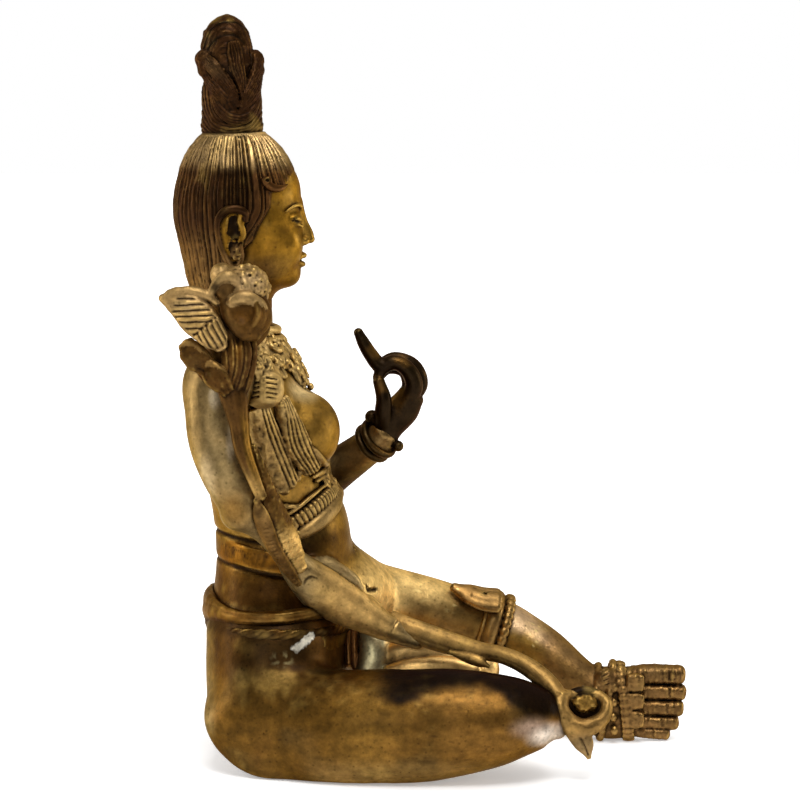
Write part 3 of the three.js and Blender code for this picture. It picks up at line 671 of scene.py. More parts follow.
# curl at the temple
head.both(Tube([on_head(266.5, 179.6, 0.35), on_head(268.6, 185.0, 0.4), on_head(274.5, 188.4, 0.5), on_head(281.5, 187.8, 0.6), on_head(287.5, 184.5, 0.5)],
               [1.75, 1.5, 1.3, 1.0, 0.35], [1.3, 1.2, 1.1, 0.9, 0.3]), 0.25, HAIR)
head.cut2(Tube([on_head(262.5, 175.6, 0.1), on_head(267.5, 173.6, 0.1), on_head(273, 176, 0.1), on_head(275, 181, 0.1)], [0.3, 0.5, 0.45, 0.25]), 0.25, DARK)
head.cut2(Ball(on_head(267.5, 180.4, 1.5), 0.5), 0.2, DARK)
# ear: folded rim, bowl, and a long lobe with an ornament in it
head.both(Tube([on_head(229, 212, 0.2), on_head(231, 226, 0.5), on_head(231, 244, 0.5), on_head(233, 260, 0.4)], [3.6, 4.2, 3.9, 2.8], [0.9, 1.2, 1.1, 0.9], cap=0.5), 0.6, SKIN)
# the ear's bowl and the hollow of the lobe are tagged DARK: painted shade
head.cut2(Ball(on_head(234.5, 228, 1.9), (2.5, 1.3, 4.2)), 0.4, DARK)
head.cut2(Ball(on_head(236, 249, 1.7), (2.3, 1.2, 4.3)), 0.4, DARK)
head.both(Tube([on_head(246, 221, 0.4), on_head(245, 213, 1.0), on_head(237, 209, 1.6), on_head(227, 210, 1.9), on_head(219.5, 217, 1.9), on_head(217.5, 229, 1.7), on_head(220, 243, 1.5),
                on_head(224.5, 255, 1.3), on_head(230, 264.5, 1.2), on_head(237.5, 265, 1.0), on_head(242, 257, 0.8), on_head(241, 245, 0.6)],
               [0.9, 1.3, 1.35, 1.3, 1.15, 0.95, 0.9, 1.0, 1.1, 1.0, 0.9, 0.6], [0.7, 1.0, 1.0, 1.0, 0.9, 0.8, 0.8, 0.9, 0.9, 0.8, 0.7, 0.5]), 0.35, HAIR)
head.both(Tube([on_head(240.5, 214.5, 1.2), on_head(239.5, 221, 0.9), on_head(242.5, 228, 0.8), on_head(243.5, 236, 0.8), on_head(239, 241, 0.7)], [0.7, 0.75, 0.9, 0.9, 0.6]), 0.3, SKIN)
head.both(Tube([on_head(227.5, 219, 1.2), on_head(225.8, 229, 1.1), on_head(228.5, 238.5, 0.9), on_head(235, 241, 0.8)], [0.55, 0.65, 0.6, 0.5]), 0.3, SKIN)
head.both(Ball(on_head(236.5, 252.5, 1.0), (1.9, 1.1, 2.6), relief=lambda x, P: 0.4 * noise(P, 0.8)), 0.3, ORN)

# ----------------------------------------------------------------- chignon
knot = piece("chignon", 0.30, 85000, "chignon")
K_Z = [196, 200.2, 201.2, 202.3, 204.9, 211.3, 217.7, 220, 221.9, 225.1, 228.4, 230.6, 235.4, 238.6, 240.2, 241.0]
K_R = [8.4, 8.4, 9.0, 9.6, 10.2, 10.2, 9.9, 8.7, 8.9, 9.6, 8.1, 8.5, 7.4, 5.0, 2.7, 0.3]
K_X = [-11.8, -11.8, -11.8, -11.8, -11.8, -11.8, -12.0, -12.3, -12.7, -12.9, -13.4, -13.4, -13.5, -13.4, -13.3, -13.3]


def core(P):
    x, y, z = P[:, 0], P[:, 1], P[:, 2]
    r = np.interp(z, K_Z, K_R) - 0.35 * (1 - smooth(z, 226, 229)) * smooth(z, 205, 208)
    xc = np.interp(z, K_Z, K_X)
    rho = np.sqrt((x - xc) ** 2 + y * y)
    d = rho - r
    d = np.where(z > 232, np.minimum(d, 40), d) * (1 - 0.35 * smooth(z, 232, 240))
    # arched strands over the dome, as rings about a level axis
    arch = np.sqrt(((x + 13.4) / 8.6) ** 2 + ((z - 226.0) / 15.2) ** 2)
    n = noise(P, 2.6)
    wave = np.abs(np.cos(np.pi * (arch * 8.2 + 0.35 * n))) ** 0.6 - 1
    d = d - (0.26 + 0.16 * n) * wave * smooth(z, 226, 228.5) - 0.10 * noise(P, 1.0)
    # a basket of fine strands that hang in a bow round the lower part
    bow = np.sqrt(((x - xc - 0.6) / 1.0) ** 2 + (np.minimum(z - 214.5, 0) / 1.12) ** 2)
    low = np.abs(np.cos(np.pi * (bow / 1.02 + 0.3 * n))) ** 0.55 - 1
    d = d - (0.46 + 0.16 * n) * low * (1 - smooth(z, 218.5, 221))
    return np.maximum(np.maximum(d, 196 - z), z - 241.0).astype(np.float32)


def on_knot(u, v, out=0.0):
    y = -9.0
    for _ in range(5):
        p = q(u, v, y)
        r = np.interp(p[2], K_Z, K_R)
        dx = p[0] - np.interp(p[2], K_Z, K_X)
        y = -math.sqrt(max(r * r - dx * dx, 0.4))
    n = np.array([dx, y, 0]) / math.hypot(dx, y)
    return p + n * out, n


def fibres(n, amp):
    """Uneven strands along a lock."""
    def f(L, x, y, rho, a, b, P):
        w = n * x / 2 + 0.22 * noise(P, 2.4) + 0.3 * np.sin(2.1 * x + 1)
        near = np.clip(1 - np.abs(rho - 1) * 1.2, 0, 1) * (np.abs(x) < 1.15)
        return (amp * (1 + 0.5 * noise(P, 3.1)) * (np.abs(np.cos(np.pi * w)) ** 0.6 - 1) + 0.16 * noise(P, 0.8)) * near
    return f


def lock(rows, ra, rb, n, out=0.1, k=0.35, amp=0.4):
    pts, side = zip(*[on_knot(u, v, out) for u, v in rows])
    knot.both(Tube(pts, ra, rb, side=np.array(side), relief=fibres(n, amp)), k, HAIR)


knot.add(Make(core, (-24.5, -11, 196), (-1, 11, 241.2)), 0.5, HAIR)
# the bow's upper rim
lock([(214, 84), (215, 98), (221, 110), (230, 117), (239, 119), (249, 115), (256, 105), (259, 92)], [1.0, 1.6, 2.0, 2.2, 2.2, 2.0, 1.6, 1.1], [0.5, 0.8, 1.0, 1.1, 1.1, 1.0, 0.8, 0.5], 4, -0.05, 0.3, 0.5)
# locks that cross from the shoulders of the knot to its middle
lock([(201.5, 66), (209, 79), (219, 93), (229, 104), (236, 112)], [1.8, 2.6, 2.6, 2.0, 1.0], [0.9, 1.2, 1.1, 0.9, 0.5], 6, 0.0, amp=0.5)
lock([(204, 57), (213, 66.5), (223, 79), (232, 93), (238, 106)], [2.2, 2.5, 2.5, 2.0, 1.0], [1.2, 1.4, 1.3, 1.1, 0.6], 6, 0.3, amp=0.55)
lock([(259.5, 66), (258.5, 80), (253, 94), (246, 104), (240, 112)], [1.4, 2.2, 2.2, 1.7, 0.8], [0.9, 1.2, 1.3, 1.1, 0.6], 5, 0.1, amp=0.5)
lock([(255, 57), (254.5, 69), (251, 83), (246, 96), (241, 106)], [1.9, 2.6, 2.4, 1.9, 0.8], [1.2, 1.6, 1.6, 1.3, 0.7], 5, 0.4, amp=0.55)
lock([(233, 43), (234.5, 54), (237, 68), (240.5, 82), (242, 96)], [2.2, 2.8, 2.7, 2.0, 0.8], [1.0, 1.6, 1.6, 1.2, 0.6], 5, 0.5, amp=0.65)
for u, v, r in [(202.5, 59, 3.1), (257.0, 60, 3.0), (203.5, 69, 2.7), (258.5, 70, 2.6)]:
    c, n = on_knot(u, v, -0.8)
    knot.both(Ball(c, (r, r, r * 1.05), relief=lambda x, P: 0.25 * noise(P, 1.1)), 0.7, HAIR)
# groove where the dome's rim meets the locks
for rows in ([(204, 52), (207, 38), (214, 27), (226, 21.5), (240, 24.5), (249, 35), (252, 47)], [(208, 50), (214, 41), (224, 35.5), (236, 36), (244, 43)]):
    knot.cut2(Tube([on_knot(u, v, 0.05)[0] for u, v in rows], 0.28), 0.3, DARK)
# ------------------------------------------------------------------- trunk
trunk = piece("trunk", 0.62, 140000, "trunk")
ROWS = [[38, 25, -21.8, 37], [44, 25, -21.5, 35], [50, 24.5, -19.8, 30.0], [56, 24, -18.4, 26.6], [68, 23.5, -17.6, 23.3], [82, 22, -19, 23.6],
        [96, 16, -21.8, 29], [110, 13.5, -23.5, 32.5], [121, 11, -23.5, 36], [130, 5.5, -21.5, 30], [136, 1.5, -19.5, 18], [141, 0.5, -19, 12], [146, 0.2, -18.6, 9]]
trunk.add(Loft(ROWS), 14, SKIN)
trunk.add(Ball((10.4, -13.2, 107.6), (12.6, 13.8, 13.2), (0.2, 0, 1)), 4.5, SKIN)
trunk.add(Ball((9.8, 13.2, 104.9), (12.4, 13.8, 13.0), (0.2, 0, 1)), 4.5, SKIN)
trunk.add(Ball((14.6, 0, 67), (9.8, 18, 18)), 10, SKIN)
trunk.both(Ball((-14.6, -40, 125), (10.2, 10.4, 11.6), (0, 0.3, 1)), 6, SKIN)
arm_r = [(-10, -32, 128.5)] + q3([(217.5, 385, -42), (215, 410, -45.5), (217.5, 440, -48), (228, 470, -50.5), (245, 501, -52)])
trunk.add(Tube(arm_r, [11.2, 9.8, 9.3, 9.0, 8.7, 8.3]), 4.0, ARM)
trunk.add(Tube(q3([(243, 506, -52), (256, 516, -49.5), (269, 530, -45.5), (281, 546, -40.5), (291, 559, -35), (300, 570, -30)]), [8.2, 6.6, 5.1, 4.4, 4.0, 3.2], cap=0.7), 1.6, ARM)
trunk.add(Tube([(-10, 32, 128.5), (-15, 43, 122), (-13, 48, 108), (-6, 51.5, 90), (4, 52, 74)], [11.5, 10.3, 9.6, 9.2, 8.0]), 4.5, SKIN)
trunk.add(Tube([(4, 52, 74), (11, 47, 80), (20, 40, 88), (34.5, 30, 100), (37, 28.6, 103)], [8.0, 7.9, 7.0, 5.7, 5.2], cap=0.6), 2.0, GREY)
# the stretched left thigh flows out of the belly
trunk.add(Ball((26.0, 2.0, 53.5), (8.0, 13.0, 9.4)), 9, THIGH)
trunk.add(Tube([(4, 10, 48), (22, 13.5, 49)] + q3([(380, 603, 21.5), (432, 612, 25), (470, 621, 27.5), (500, 630, 28)]), [17, 15.6, 13.0, 11.3, 10.0, 9.2], [17, 15.6, 12.8, 11.4, 10.4, 9.6], cap=0.5), 11, THIGH)
# spine, shoulder blades, navel: plain work on the sides the picture doesn't show
trunk.cut(Tube([(-25.8, 0, 134), (-26.6, 0, 118), (-25.2, 0, 100), (-21.4, 0, 82), (-20.4, 0, 66)], [1.6, 2.4, 2.4, 2.2, 1.6]), 3.2)
trunk.both(Tube([(-22.2, -15, 127), (-23.2, -14, 118), (-22.4, -12, 110)], [3.0, 4.4, 3.0], [1.6, 2.2, 1.4], side=(1, 0, 0)), 3.5, SKIN)
trunk.cut(Ball((26.6, 0.6, 67.5), (1.3, 1.2, 1.4)), 0.8)
# cloth band round the waist, below the elbow


waist = [(3.6 + 20.3 * math.cos(a), 25.9 * math.sin(a), 66.8 - 3.4 * math.cos(a)) for a in np.linspace(0, 2 * math.pi, 25)[:-1]]
trunk.add(Tube(waist, 3.5, 1.0, side=np.array([(math.cos(a), math.sin(a), 0) for a in np.linspace(0, 2 * math.pi, 25)[:-1]]), closed=True, power=3.0), 0.5, BAND)
# the crease of the elbow and the line down the outer arm
trunk.cut(Tube(q3([(226, 470, -60.2), (236, 487, -61), (250, 503, -60.6)]), [0.35, 0.5, 0.3]), 0.8)
# the fold between belly and thigh
trunk.cut(Tube(q3([(323, 562, -14), (340, 571, -12), (358, 586, -8)]), [0.6, 0.8, 0.7]), 0.8)


def band_z(P):
    """Height of a point over the middle of the waist band."""
    return P[:, 2] - 66.8 + 3.4 * (P[:, 0] - 3.6) / 20.3


def band_lines(P, d):
    t = band_z(P)
    return (1 - smooth(P[:, 0], 7, 14)) * (-0.95 * np.exp(-((t - 4.9) / 0.75) ** 2) - 0.6 * np.exp(-((t + 4.4) / 0.6) ** 2))


trunk.carve(band_lines, (-22, -30, 55), (26, 34, 78))
trunk.keep(lambda P: 45.2 - P[:, 2] - 40 * smooth(P[:, 0], 16, 24), 0.6)

# ------------------------------------------------------- necklace and sashes
def hit(field, u, v, y0=-95.0, y1=75.0):
    """Where the line of sight through (u, v) first meets a piece, or passes
    nearest to it, and the outward direction there."""
    a, b = q(u, v, y0), q(u, v, y1)
    t = np.linspace(0, 1, 381)
    P = a + (b - a) * t[:, None]
    d = field.value(P.astype(np.float32))
    inside = np.nonzero(d < 0)[0]
    if len(inside) and inside[0]:
        i = inside[0]
        f = d[i - 1] / (d[i - 1] - d[i])
        p = P[i - 1] + (P[i] - P[i - 1]) * f
    else:
        i = int(d.argmin())
        p = P[i]
    e = 0.4
    g = field.value((p + np.vstack([np.eye(3) * e, -np.eye(3) * e])).astype(np.float32))
    n = (g[:3] - g[3:]).astype(float)
    n /= max(np.linalg.norm(n), 1e-9)
    if not len(inside):
        p = p - n * float(d[i])
    return p, n


orn = piece("necklace_and_sashes", 0.34, 150000, "ornament")
class OnTrunk:
    """Only the bare trunk, so that ornaments find the chest behind the arm."""
    def __init__(self):
        self.f = Field("x", 1, 1)
        self.f.add(Loft(ROWS), 1)
        self.f.add(Ball((10.4, -13.2, 107.6), (12.6, 13.8, 13.2), (0.2, 0, 1)), 4.5)
        self.f.add(Ball((9.8, 13.2, 104.9), (12.4, 13.8, 13.0), (0.2, 0, 1)), 4.5)
        self.f.add(Ball((14.6, 0, 67), (9.8, 18, 18)), 7)
        self.f.both(Ball((-14.6, -40, 125), (10.2, 10.4, 11.6), (0, 0.3, 1)), 6)


chest = OnTrunk().f


def laid(rows, ra, rb, out=0.2, k=0.35, relief=None, tag=ORN, cap=0.8, power=2.0, target=None, on=None):
    target = target or orn
    pts, side = [], []
    for u, v in rows:
        p, n = hit(on or chest, u, v)
        pts.append(p + n * out)
        side.append(n)
    t = Tube(pts, ra, rb, side=np.array(side), relief=relief, cap=cap, power=power)
    target.both(t, k, tag)
    return pts, side


def rough(amp, scale):
    return lambda L, x, y, rho, a, b, P: amp * noise(P, scale)


def both_reliefs(*fs):
    return lambda *a: sum(f(*a) for f in fs)


# two pleated bundles of cloth


def pleats(n, amp, lo=-1.2):
    def f(L, x, y, rho, a, b, P):
        w = np.abs(np.cos(np.pi * (n * x + 0.05 * noise(P, 4.0)))) ** 0.65 - 1
        on = smooth(x, lo, lo + 0.2)
        return amp * (1 + 0.4 * noise(P, 2.5)) * w * on + (0.34 - 0.16 * on) * noise(P, 1.5) + 0.12 * noise(P, 0.6)
    return f


laid([(258, 408), (264, 432), (272, 456), (284, 484)], [3.6, 4.6, 5.0, 4.7], [2.2, 2.7, 2.7, 2.0], 0.9, relief=pleats(3.1, 0.7, -0.15), power=2.8)
laid([(279, 402), (287, 423), (298, 445), (309, 465)], [3.0, 4.0, 4.3, 3.4], [2.4, 2.9, 2.9, 2.3], 1.3, relief=pleats(3.0, 0.7, -0.7), power=2.6)
laid([(299, 449), (307, 459), (313, 468)], [2.2, 2.8, 2.0], [1.3, 1.6, 1.2], 0.8, relief=rough(0.35, 1.4))
# ragged foot of the first bundle
for u, v, r in [(276, 487, 1.5), (283, 489, 1.6), (289, 484, 1.5), (295, 477, 1.4), (272, 480, 1.3), (298, 470, 1.2)]:
    p, n = hit(chest, u, v)
    orn.both(Ball(p + n * 1.2, r, relief=lambda x, P: 0.25 * noise(P, 0.9)), 0.4, ORN)
# shoulder ornament: an egg with two columns of short ribs
p, n = hit(trunk, 261.5, 388)
n = (n + np.array([0.35, -0.6, 0.0])) / 1.3


def egg_ribs(x, P, p=p):
    col = smooth(np.abs(x[:, 0]), 0.12, 0.2) * (1 - smooth(np.abs(x[:, 0]), 0.62, 0.75))
    z = P[:, 2]
    return 0.75 * (np.abs(np.cos(np.pi * (z + 0.2 * np.abs(P[:, 0] - p[0])) / 1.5)) ** 0.6 - 1) * col * smooth(x[:, 2], -0.55, -0.35) * (1 - smooth(x[:, 2], 0.6, 0.8)) + 0.15 * noise(P, 1.2)


orn.both(Ball(p + n * 0.6, (6.6, 4.6, 6.2), relief=egg_ribs, power=2.4), 0.5, ORN)
# necklace: a broad collar of scrolls with ring medallions, beads at its edge
laid([(252, 338), (262, 347), (273, 353), (286, 358), (297, 365), (307, 376)], [4.6, 5.6, 6.0, 5.0, 4.0, 2.4], [1.6, 2.0, 2.1, 2.0, 1.8, 1.1], 0.6, relief=rough(0.5, 1.5), on=trunk)
laid([(250, 354), (254, 363), (262, 369), (272, 372), (282, 374)], [3.6, 4.2, 4.2, 3.4, 2.2], [1.4, 1.8, 1.9, 1.7, 1.1], 0.5, relief=rough(0.45, 1.3), on=trunk)


def ringlet(u, v, ru, rv, r, out=1.6, lean=0.0, tag=ORN, core_r=None):
    p, n = hit(trunk, u, v)
    e1 = np.array([1.0, 0, 0]) - n * n[0]
    e1 /= np.linalg.norm(e1)
    e2 = np.cross(n, e1)
    e2 *= np.sign(e2[2]) or 1
    pts = []
    for a in np.linspace(0, 2 * math.pi, 13)[:-1]:
        c, s = math.cos(a), math.sin(a)
        cx, cz = c * ru * math.cos(lean) - s * rv * math.sin(lean), c * ru * math.sin(lean) + s * rv * math.cos(lean)
        pts.append(p + n * out + e1 * cx + e2 * cz)
    orn.both(Tube(pts, r, closed=True), 0.25, tag)
    if core_r:
        orn.both(Ball(p + n * out, core_r), 0.25, tag)
    return p, n


ringlet(269.5, 352, 2.3, 2.9, 1.0, 3.0, -0.3, core_r=0.9)
ringlet(291, 358, 1.7, 2.2, 0.8, 3.0, -0.3, core_r=0.8)
ringlet(301, 368, 1.2, 1.6, 0.65, 2.5, -0.3, core_r=0.6)
for u, v, c, big in [(256, 343, 1, 1.3), (252, 355, -1, 1.3), (259, 364, 1, 1.5), (273, 366, -1, 1.4), (283, 367, 1, 1.1), (281, 349, -1, 1.2), (298, 366, 1, 1.0), (304, 374, 1, 0.9), (264, 339, 1, 1.1), (283, 356, 1, 1.1), (252, 366, -1, 1.2), (256, 334, 1, 1.1), (268, 364, 1, 1.0)]:
    p1, n1 = hit(trunk, u, v)
    t = np.cross(n1, (0, 0, 1))
    t /= np.linalg.norm(t)
    b2 = np.cross(t, n1) * c
    sp = []
    for i in range(9):
        a = i / 8 * 4.6
        rr = (0.3 + 0.36 * a) * big
        sp.append(p1 + n1 * 2.4 + (t * math.cos(a) + b2 * math.sin(a)) * rr)
    orn.both(Tube(sp, [0.62 * big] * 8 + [0.35]), 0.2, ORN)
rim = [(280, 370), (287, 368), (293, 369.5), (299, 372), (304, 375), (309, 379)]
pts, side = laid(rim, [0.7] * 6, [0.7] * 6, 1.2)
for u, v in [(287, 370), (292.5, 371.5), (298, 374), (303, 377), (308, 381), (312, 385)]:
    p1, n1 = hit(chest, u, v)
    orn.both(Ball(p1 + n1 * 0.8, (1.15, 1.15, 1.3)), 0.3, ORN)
# the collar's front, on the unseen breast bone, with its pendant
for z, r in [(131.5, 1.0), (127.0, 0.9)]:
    pts = []
    for a in np.linspace(-1.25, 1.25, 13):
        y = 21 * math.sin(a) * (1.05 if z < 130 else 0.8)
        zz = z + 5.0 * abs(math.sin(a)) ** 1.5
        lo_, hi_ = -20.0, 40.0
        for _ in range(26):
            m = (lo_ + hi_) / 2
            if float(chest.value(np.array([[m, y, zz]], np.float32))[0]) < 0:
                lo_ = m
            else:
                hi_ = m
        pts.append((lo_ + 0.4, y, zz))
    orn.add(Tube(pts, r, r * 1.1, relief=lambda L, x, y, rho, a, b, P: 0.35 * (np.abs(np.cos(np.pi * L / 2.0)) ** 0.7 - 1)), 0.4, ORN)
for y, z, r in [(0, 124.5, 2.2), (0, 119.6, 1.5), (-4.5, 125.6, 1.3), (4.5, 125.6, 1.3), (-8.6, 127.0, 1.2), (8.6, 127.0, 1.2)]:
    lo_, hi_ = -20.0, 40.0
    for _ in range(26):
        m = (lo_ + hi_) / 2
        if float(chest.value(np.array([[m, y, z]], np.float32))[0]) < 0:
            lo_ = m
        else:
            hi_ = m
    orn.add(Ball((lo_ + 0.5, y, z), (1.3, r, r * 1.15)), 0.4, ORN)
# rings round the foot of the neck
for z, r, t in [(141.2, 12.0, 1.35), (138.6, 13.2, 1.15), (136.4, 15.0, 1.0)]:
    pts = [(-8.8 + r * 0.95 * math.cos(a), r * math.sin(a), z - 0.14 * r * math.cos(a)) for a in np.linspace(0, 2 * math.pi, 21)[:-1]]
    orn.add(Tube(pts, t, closed=True, relief=(None if z > 140 else (lambda L, x, y, rho, a, b, P: 0.3 * (np.abs(np.cos(np.pi * L / 1.8)) ** 0.7 - 1)))), 0.4, ORN)
# knots of the sash under the breast
laid([(303, 447), (312, 450), (320, 458), (328, 468), (331, 474)], [1.5, 1.4, 1.3, 1.3, 1.0], [1.1] * 5, 0.9)
laid([(311, 475), (318, 471), (326, 471.5), (331, 477), (334, 482)], [0.9, 1.2, 1.2, 1.1, 0.8], [1.0] * 5, 1.0)
laid([(314, 481), (319, 477.5), (326, 477.5), (330, 481.5), (333, 487)], [0.8, 1.0, 1.0, 1.0, 0.7], [0.9] * 5, 1.0)
ringlet(322.5, 483.5, 1.7, 1.7, 0.55, 1.6, core_r=1.1)
# beaded band and smooth roll, round the front from side to side


def front_x(y, z):
    lo_, hi_ = 0.0, 40.0
    for _ in range(24):
        m = (lo_ + hi_) / 2
        if float(chest.value(np.array([[m, y, z]], np.float32))[0]) < 0:
            lo_ = m
        else:
            hi_ = m
    return lo_


def round_front(rows, ra, rb, out, relief=None, power=2.0, k=0.35, rise=1.5):
    pts, side = [], []
    for u, v in rows:
        p, n = hit(chest, u, v)
        pts.append(p + n * out)
        side.append(n)
    z = pts[-1][2] + rise
    y1 = pts[-1][1] * 0.5
    mid = [(np.array([front_x(y1, z - 0.3) + out, y1, z - 0.3]), np.array([0.9, y1 / 30, 0])), (np.array([front_x(0, z) + out, 0, z]), np.array([1.0, 0, 0])),
           (np.array([front_x(-y1, z - 0.3) + out, -y1, z - 0.3]), np.array([0.9, -y1 / 30, 0]))]
    m = np.array([1, -1, 1])
    P_ = pts + [p for p, _ in mid] + [p * m for p in pts[::-1]]
    S_ = side + [n for _, n in mid] + [n * m for n in side[::-1]]
    A_ = list(ra) + [ra[-1]] * 3 + list(ra)[::-1]
    B_ = list(rb) + [rb[-1]] * 3 + list(rb)[::-1]
    orn.add(Tube(P_, A_, B_, side=np.array(S_), relief=relief, power=power), k, ORN)


round_front([(289, 524.5), (301, 516.5), (314, 506), (325, 497), (332, 491)], [2.2, 2.5, 2.5, 2.4, 2.1], [1.6, 2.0, 2.0, 1.9, 1.6], 1.0,
            relief=lambda L, x, y, rho, a, b, P: 0.75 * (np.abs(np.cos(np.pi * L / 1.75)) ** 0.75 - 1) * smooth(-np.abs(x), -1.05, -0.75) - 0.1, power=2.6)
round_front([(284, 515.5), (296, 507), (308, 497), (318, 489), (326, 484)], [0.6, 0.7, 0.7, 0.6, 0.6], [0.9] * 5, 1.1)
laid([(277, 505), (285, 505.5), (296, 505)], [0.9, 1.0, 0.7], [0.9] * 3, 0.9, relief=rough(0.3, 0.9))
round_front([(294, 537), (305, 530.5), (317, 522), (328, 511.5), (334, 503.5)], [1.5, 2.3, 2.7, 2.6, 2.3], [1.2, 2.0, 2.3, 2.2, 1.8], 0.9)
# beads that end at the arm
for u, v, r in [(293, 528, 1.0), (289, 522, 0.9), (297, 531.5, 0.7)]:
    p1, n1 = hit(chest, u, v)
    orn.both(Ball(p1 + n1 * 2.0, r), 0.25, ORN)

# -------------------------------------------------------------- right hand
hand_r = piece("right_hand", 0.38, 28000, "skin")
# a flat, closed hand that runs out into the stem it holds


def knuckles(L, x, y, rho, a, b, P):
    line = np.exp(-((x - 0.42) / 0.07) ** 2) + 0.8 * np.exp(-((x + 0.02) / 0.07) ** 2) + 0.7 * np.exp(-((x + 0.45) / 0.07) ** 2)
    return -0.28 * line * smooth(L, 17, 22) * (1 - smooth(L, 29, 34))


hand_r.add(Tube(q3([(285, 553, -35), (294, 564, -31.5), (306, 576, -28.5), (322, 589.5, -26), (342, 602, -23.5), (362, 614, -21.5), (384, 626, -19.8), (404, 634, -19.2), (420, 640, -20)]),
                [3.8, 5.0, 6.4, 7.5, 7.3, 5.9, 4.6, 3.8, 3.2], [3.6, 4.8, 5.8, 6.0, 5.4, 4.8, 4.0, 3.4, 2.9], cap=0.6), 0.5, ARM)
trunk.add(Tube(q3([(316, 565, -22.0), (328, 568, -20.6), (341, 574, -19.2), (352, 581.5, -18.0), (360, 590, -17)]), [2.2, 3.0, 3.0, 2.6, 1.6], [2.4, 2.6, 2.4, 2.2, 1.4]), 3.2, ARM)
_w = np.array([hit(trunk, u, v)[0] for u, v in [(362, 589.0), (369, 590.0), (376, 589.5), (383, 587.0)]])
_w[:, 1] = np.clip(_w[:, 1], np.median(_w[:, 1]) - 2.0, np.median(_w[:, 1]) + 2.0)
SLOT = _w
trunk.cut(Tube(_w, [0.4, 0.65, 0.65, 0.3]), 0.3)
hand_r.add(Tube(q3([(358, 596, -19.5), (369, 602, -18.2), (379, 607, -17.6)]), [1.6, 2.3, 1.4], [1.2, 1.9, 1.0]), 1.0, ARM)
hand_r.cut(Tube(q3([(323, 563, -27.4), (333, 567, -26), (345, 575.5, -24), (358, 587, -21.5)]), [0.35, 0.6, 0.75, 0.8], [0.8, 1.6, 2.2, 2.4]), 0.35, DARK)
CREASE = []
for rows in ([(296, 575), (298, 570.5), (303.5, 568), (309.5, 569)], [(304, 584), (307, 579), (312, 576.5), (317, 578)]):
    _w = np.array([hit(hand_r, u, v)[0] for u, v in rows])
    _w[:, 1] = np.clip(_w[:, 1], np.median(_w[:, 1]) - 1.2, np.median(_w[:, 1]) + 1.2)
    hand_r.cut(Tube(_w, [0.15, 0.3, 0.28, 0.12]), 0.5)
    CREASE.append(_w)
hand_r.cut(Tube([hit(hand_r, u, v)[0] for u, v in [(399, 618.5), (395, 625), (392, 632)]], [0.15, 0.25, 0.15]), 0.5)

# --------------------------------------------------------------- left hand
hand_l = piece("left_hand", 0.36, 42000, "far")
WL = np.array([34.5, 30, 100.0])
way = WL - np.array([4, 52, 74.0])
way /= np.linalg.norm(way)
F_, S_ = np.array([0.0, -1.0, 0.0]), (0, 1, 0)
hand_l.add(Tube([WL - way * 3.0, WL + way * 2, (38.6, 28.8, 105.6), (43.2, 28.4, 110.6), (46.0, 28.2, 115)], [5.0, 5.1, 5.6, 5.6, 4.6], [4.6, 4.7, 4.7, 4.6, 4.2], cap=0.6), 0.5, GREY)
for k_, r_, t_ in ((-2.3, 6.2, 1.25), (0.9, 6.3, 1.35)):
    c_ = WL + way * k_
    fr = turn(way)
    hand_l.add(Tube([c_ + (fr[0] * math.cos(a) + fr[1] * math.sin(a)) * r_ for a in np.linspace(0, 2 * math.pi, 15)[:-1]], t_, closed=True), 0.3, ORN)
hand_l.add(Ball(q(398, 446, 28), (1.9, 1.9, 1.9)), 0.4, ORN)
for rows, r in [([(43.6, 26.4, 111.5), (46.9, 25.9, 118.6), (44.6, 25.3, 124.2), (39.6, 25.0, 126.6), (36.2, 25.2, 124.2), (34.9, 25.4, 121.4)], [2.9, 3.0, 2.7, 2.4, 2.2, 1.8]),
                ([(43.4, 30.2, 112), (48.6, 30.4, 118.6), (46.6, 30.5, 124.6), (40.2, 30.2, 127.2), (34.4, 29.8, 124.6)], [2.9, 3.0, 2.7, 2.3, 1.8]),
                ([(42.2, 33.4, 111.5), (45.6, 34.5, 117.8), (43.6, 35, 122.8), (38.2, 34.6, 123.6), (35.2, 34.0, 120.6)], [2.7, 2.8, 2.4, 2.1, 1.6]),
                ([(36.6, 27, 104.5), (36.6, 24.2, 109.5), (36.8, 23.4, 114.6), (35.2, 24.2, 120.2)], [3.1, 2.9, 2.6, 2.0]),
                ([(40.2, 25.6, 126.3), (35.6, 25.3, 125.6), (32.4, 25.4, 129.2), (30.0, 25.5, 133.2), (28.4, 25.5, 136.4)], [2.4, 2.6, 2.4, 2.1, 1.6])]:
    hand_l.add(Tube(rows, r, cap=0.95), 0.45, GREY)
hand_l.add(Ball(q(372, 417, 27), (2.4, 2.0, 2.4)), 1.0, GREY)

# --------------------------------------------------------- hips, folded leg
hips = piece("hips_and_right_leg", 0.6, 115000, "skin")
hips.add(Loft([[-4, 18, -13, 38], [4, 22, -18, 41], [12, 23, -20, 41.2], [28, 25, -22, 40], [38, 25, -21.8, 37], [44, 25, -21.5, 35], [50, 24.5, -19.8, 31.5], [55, 24, -18.6, 29]]), 1, SKIN)
hips.both(Ball((-1, -24, 15.5), (20, 17.5, 17.3)), 4, SKIN)
A_PATH = [(0, -24, 15.6), (20, -36, 15.4), (42, -40, 16.9), (58, -41, 18.6), (70, -41.5, 19.5), (80, -41.2, 20.1), (88, -40.6, 19.6), (92.4, -40.2, 18.8)]
hips.add(Tube(A_PATH, [21, 19.4, 18.4, 17.2, 15.2, 12.6, 9.2, 5.6], [16.0, 15.6, 15.9, 16.0, 15.4, 13.5, 9.7, 6.2], cap=0.62), 4, SKIN)
hips.add(Tube([(83, -33, 16), (72, -22, 19), (54, -9, 26), (38, 0, 29.5)], [10, 10.4, 9.4, 7.4], [9, 9.5, 9, 7.2], side=(0, 0, 1)), 4, SKIN)
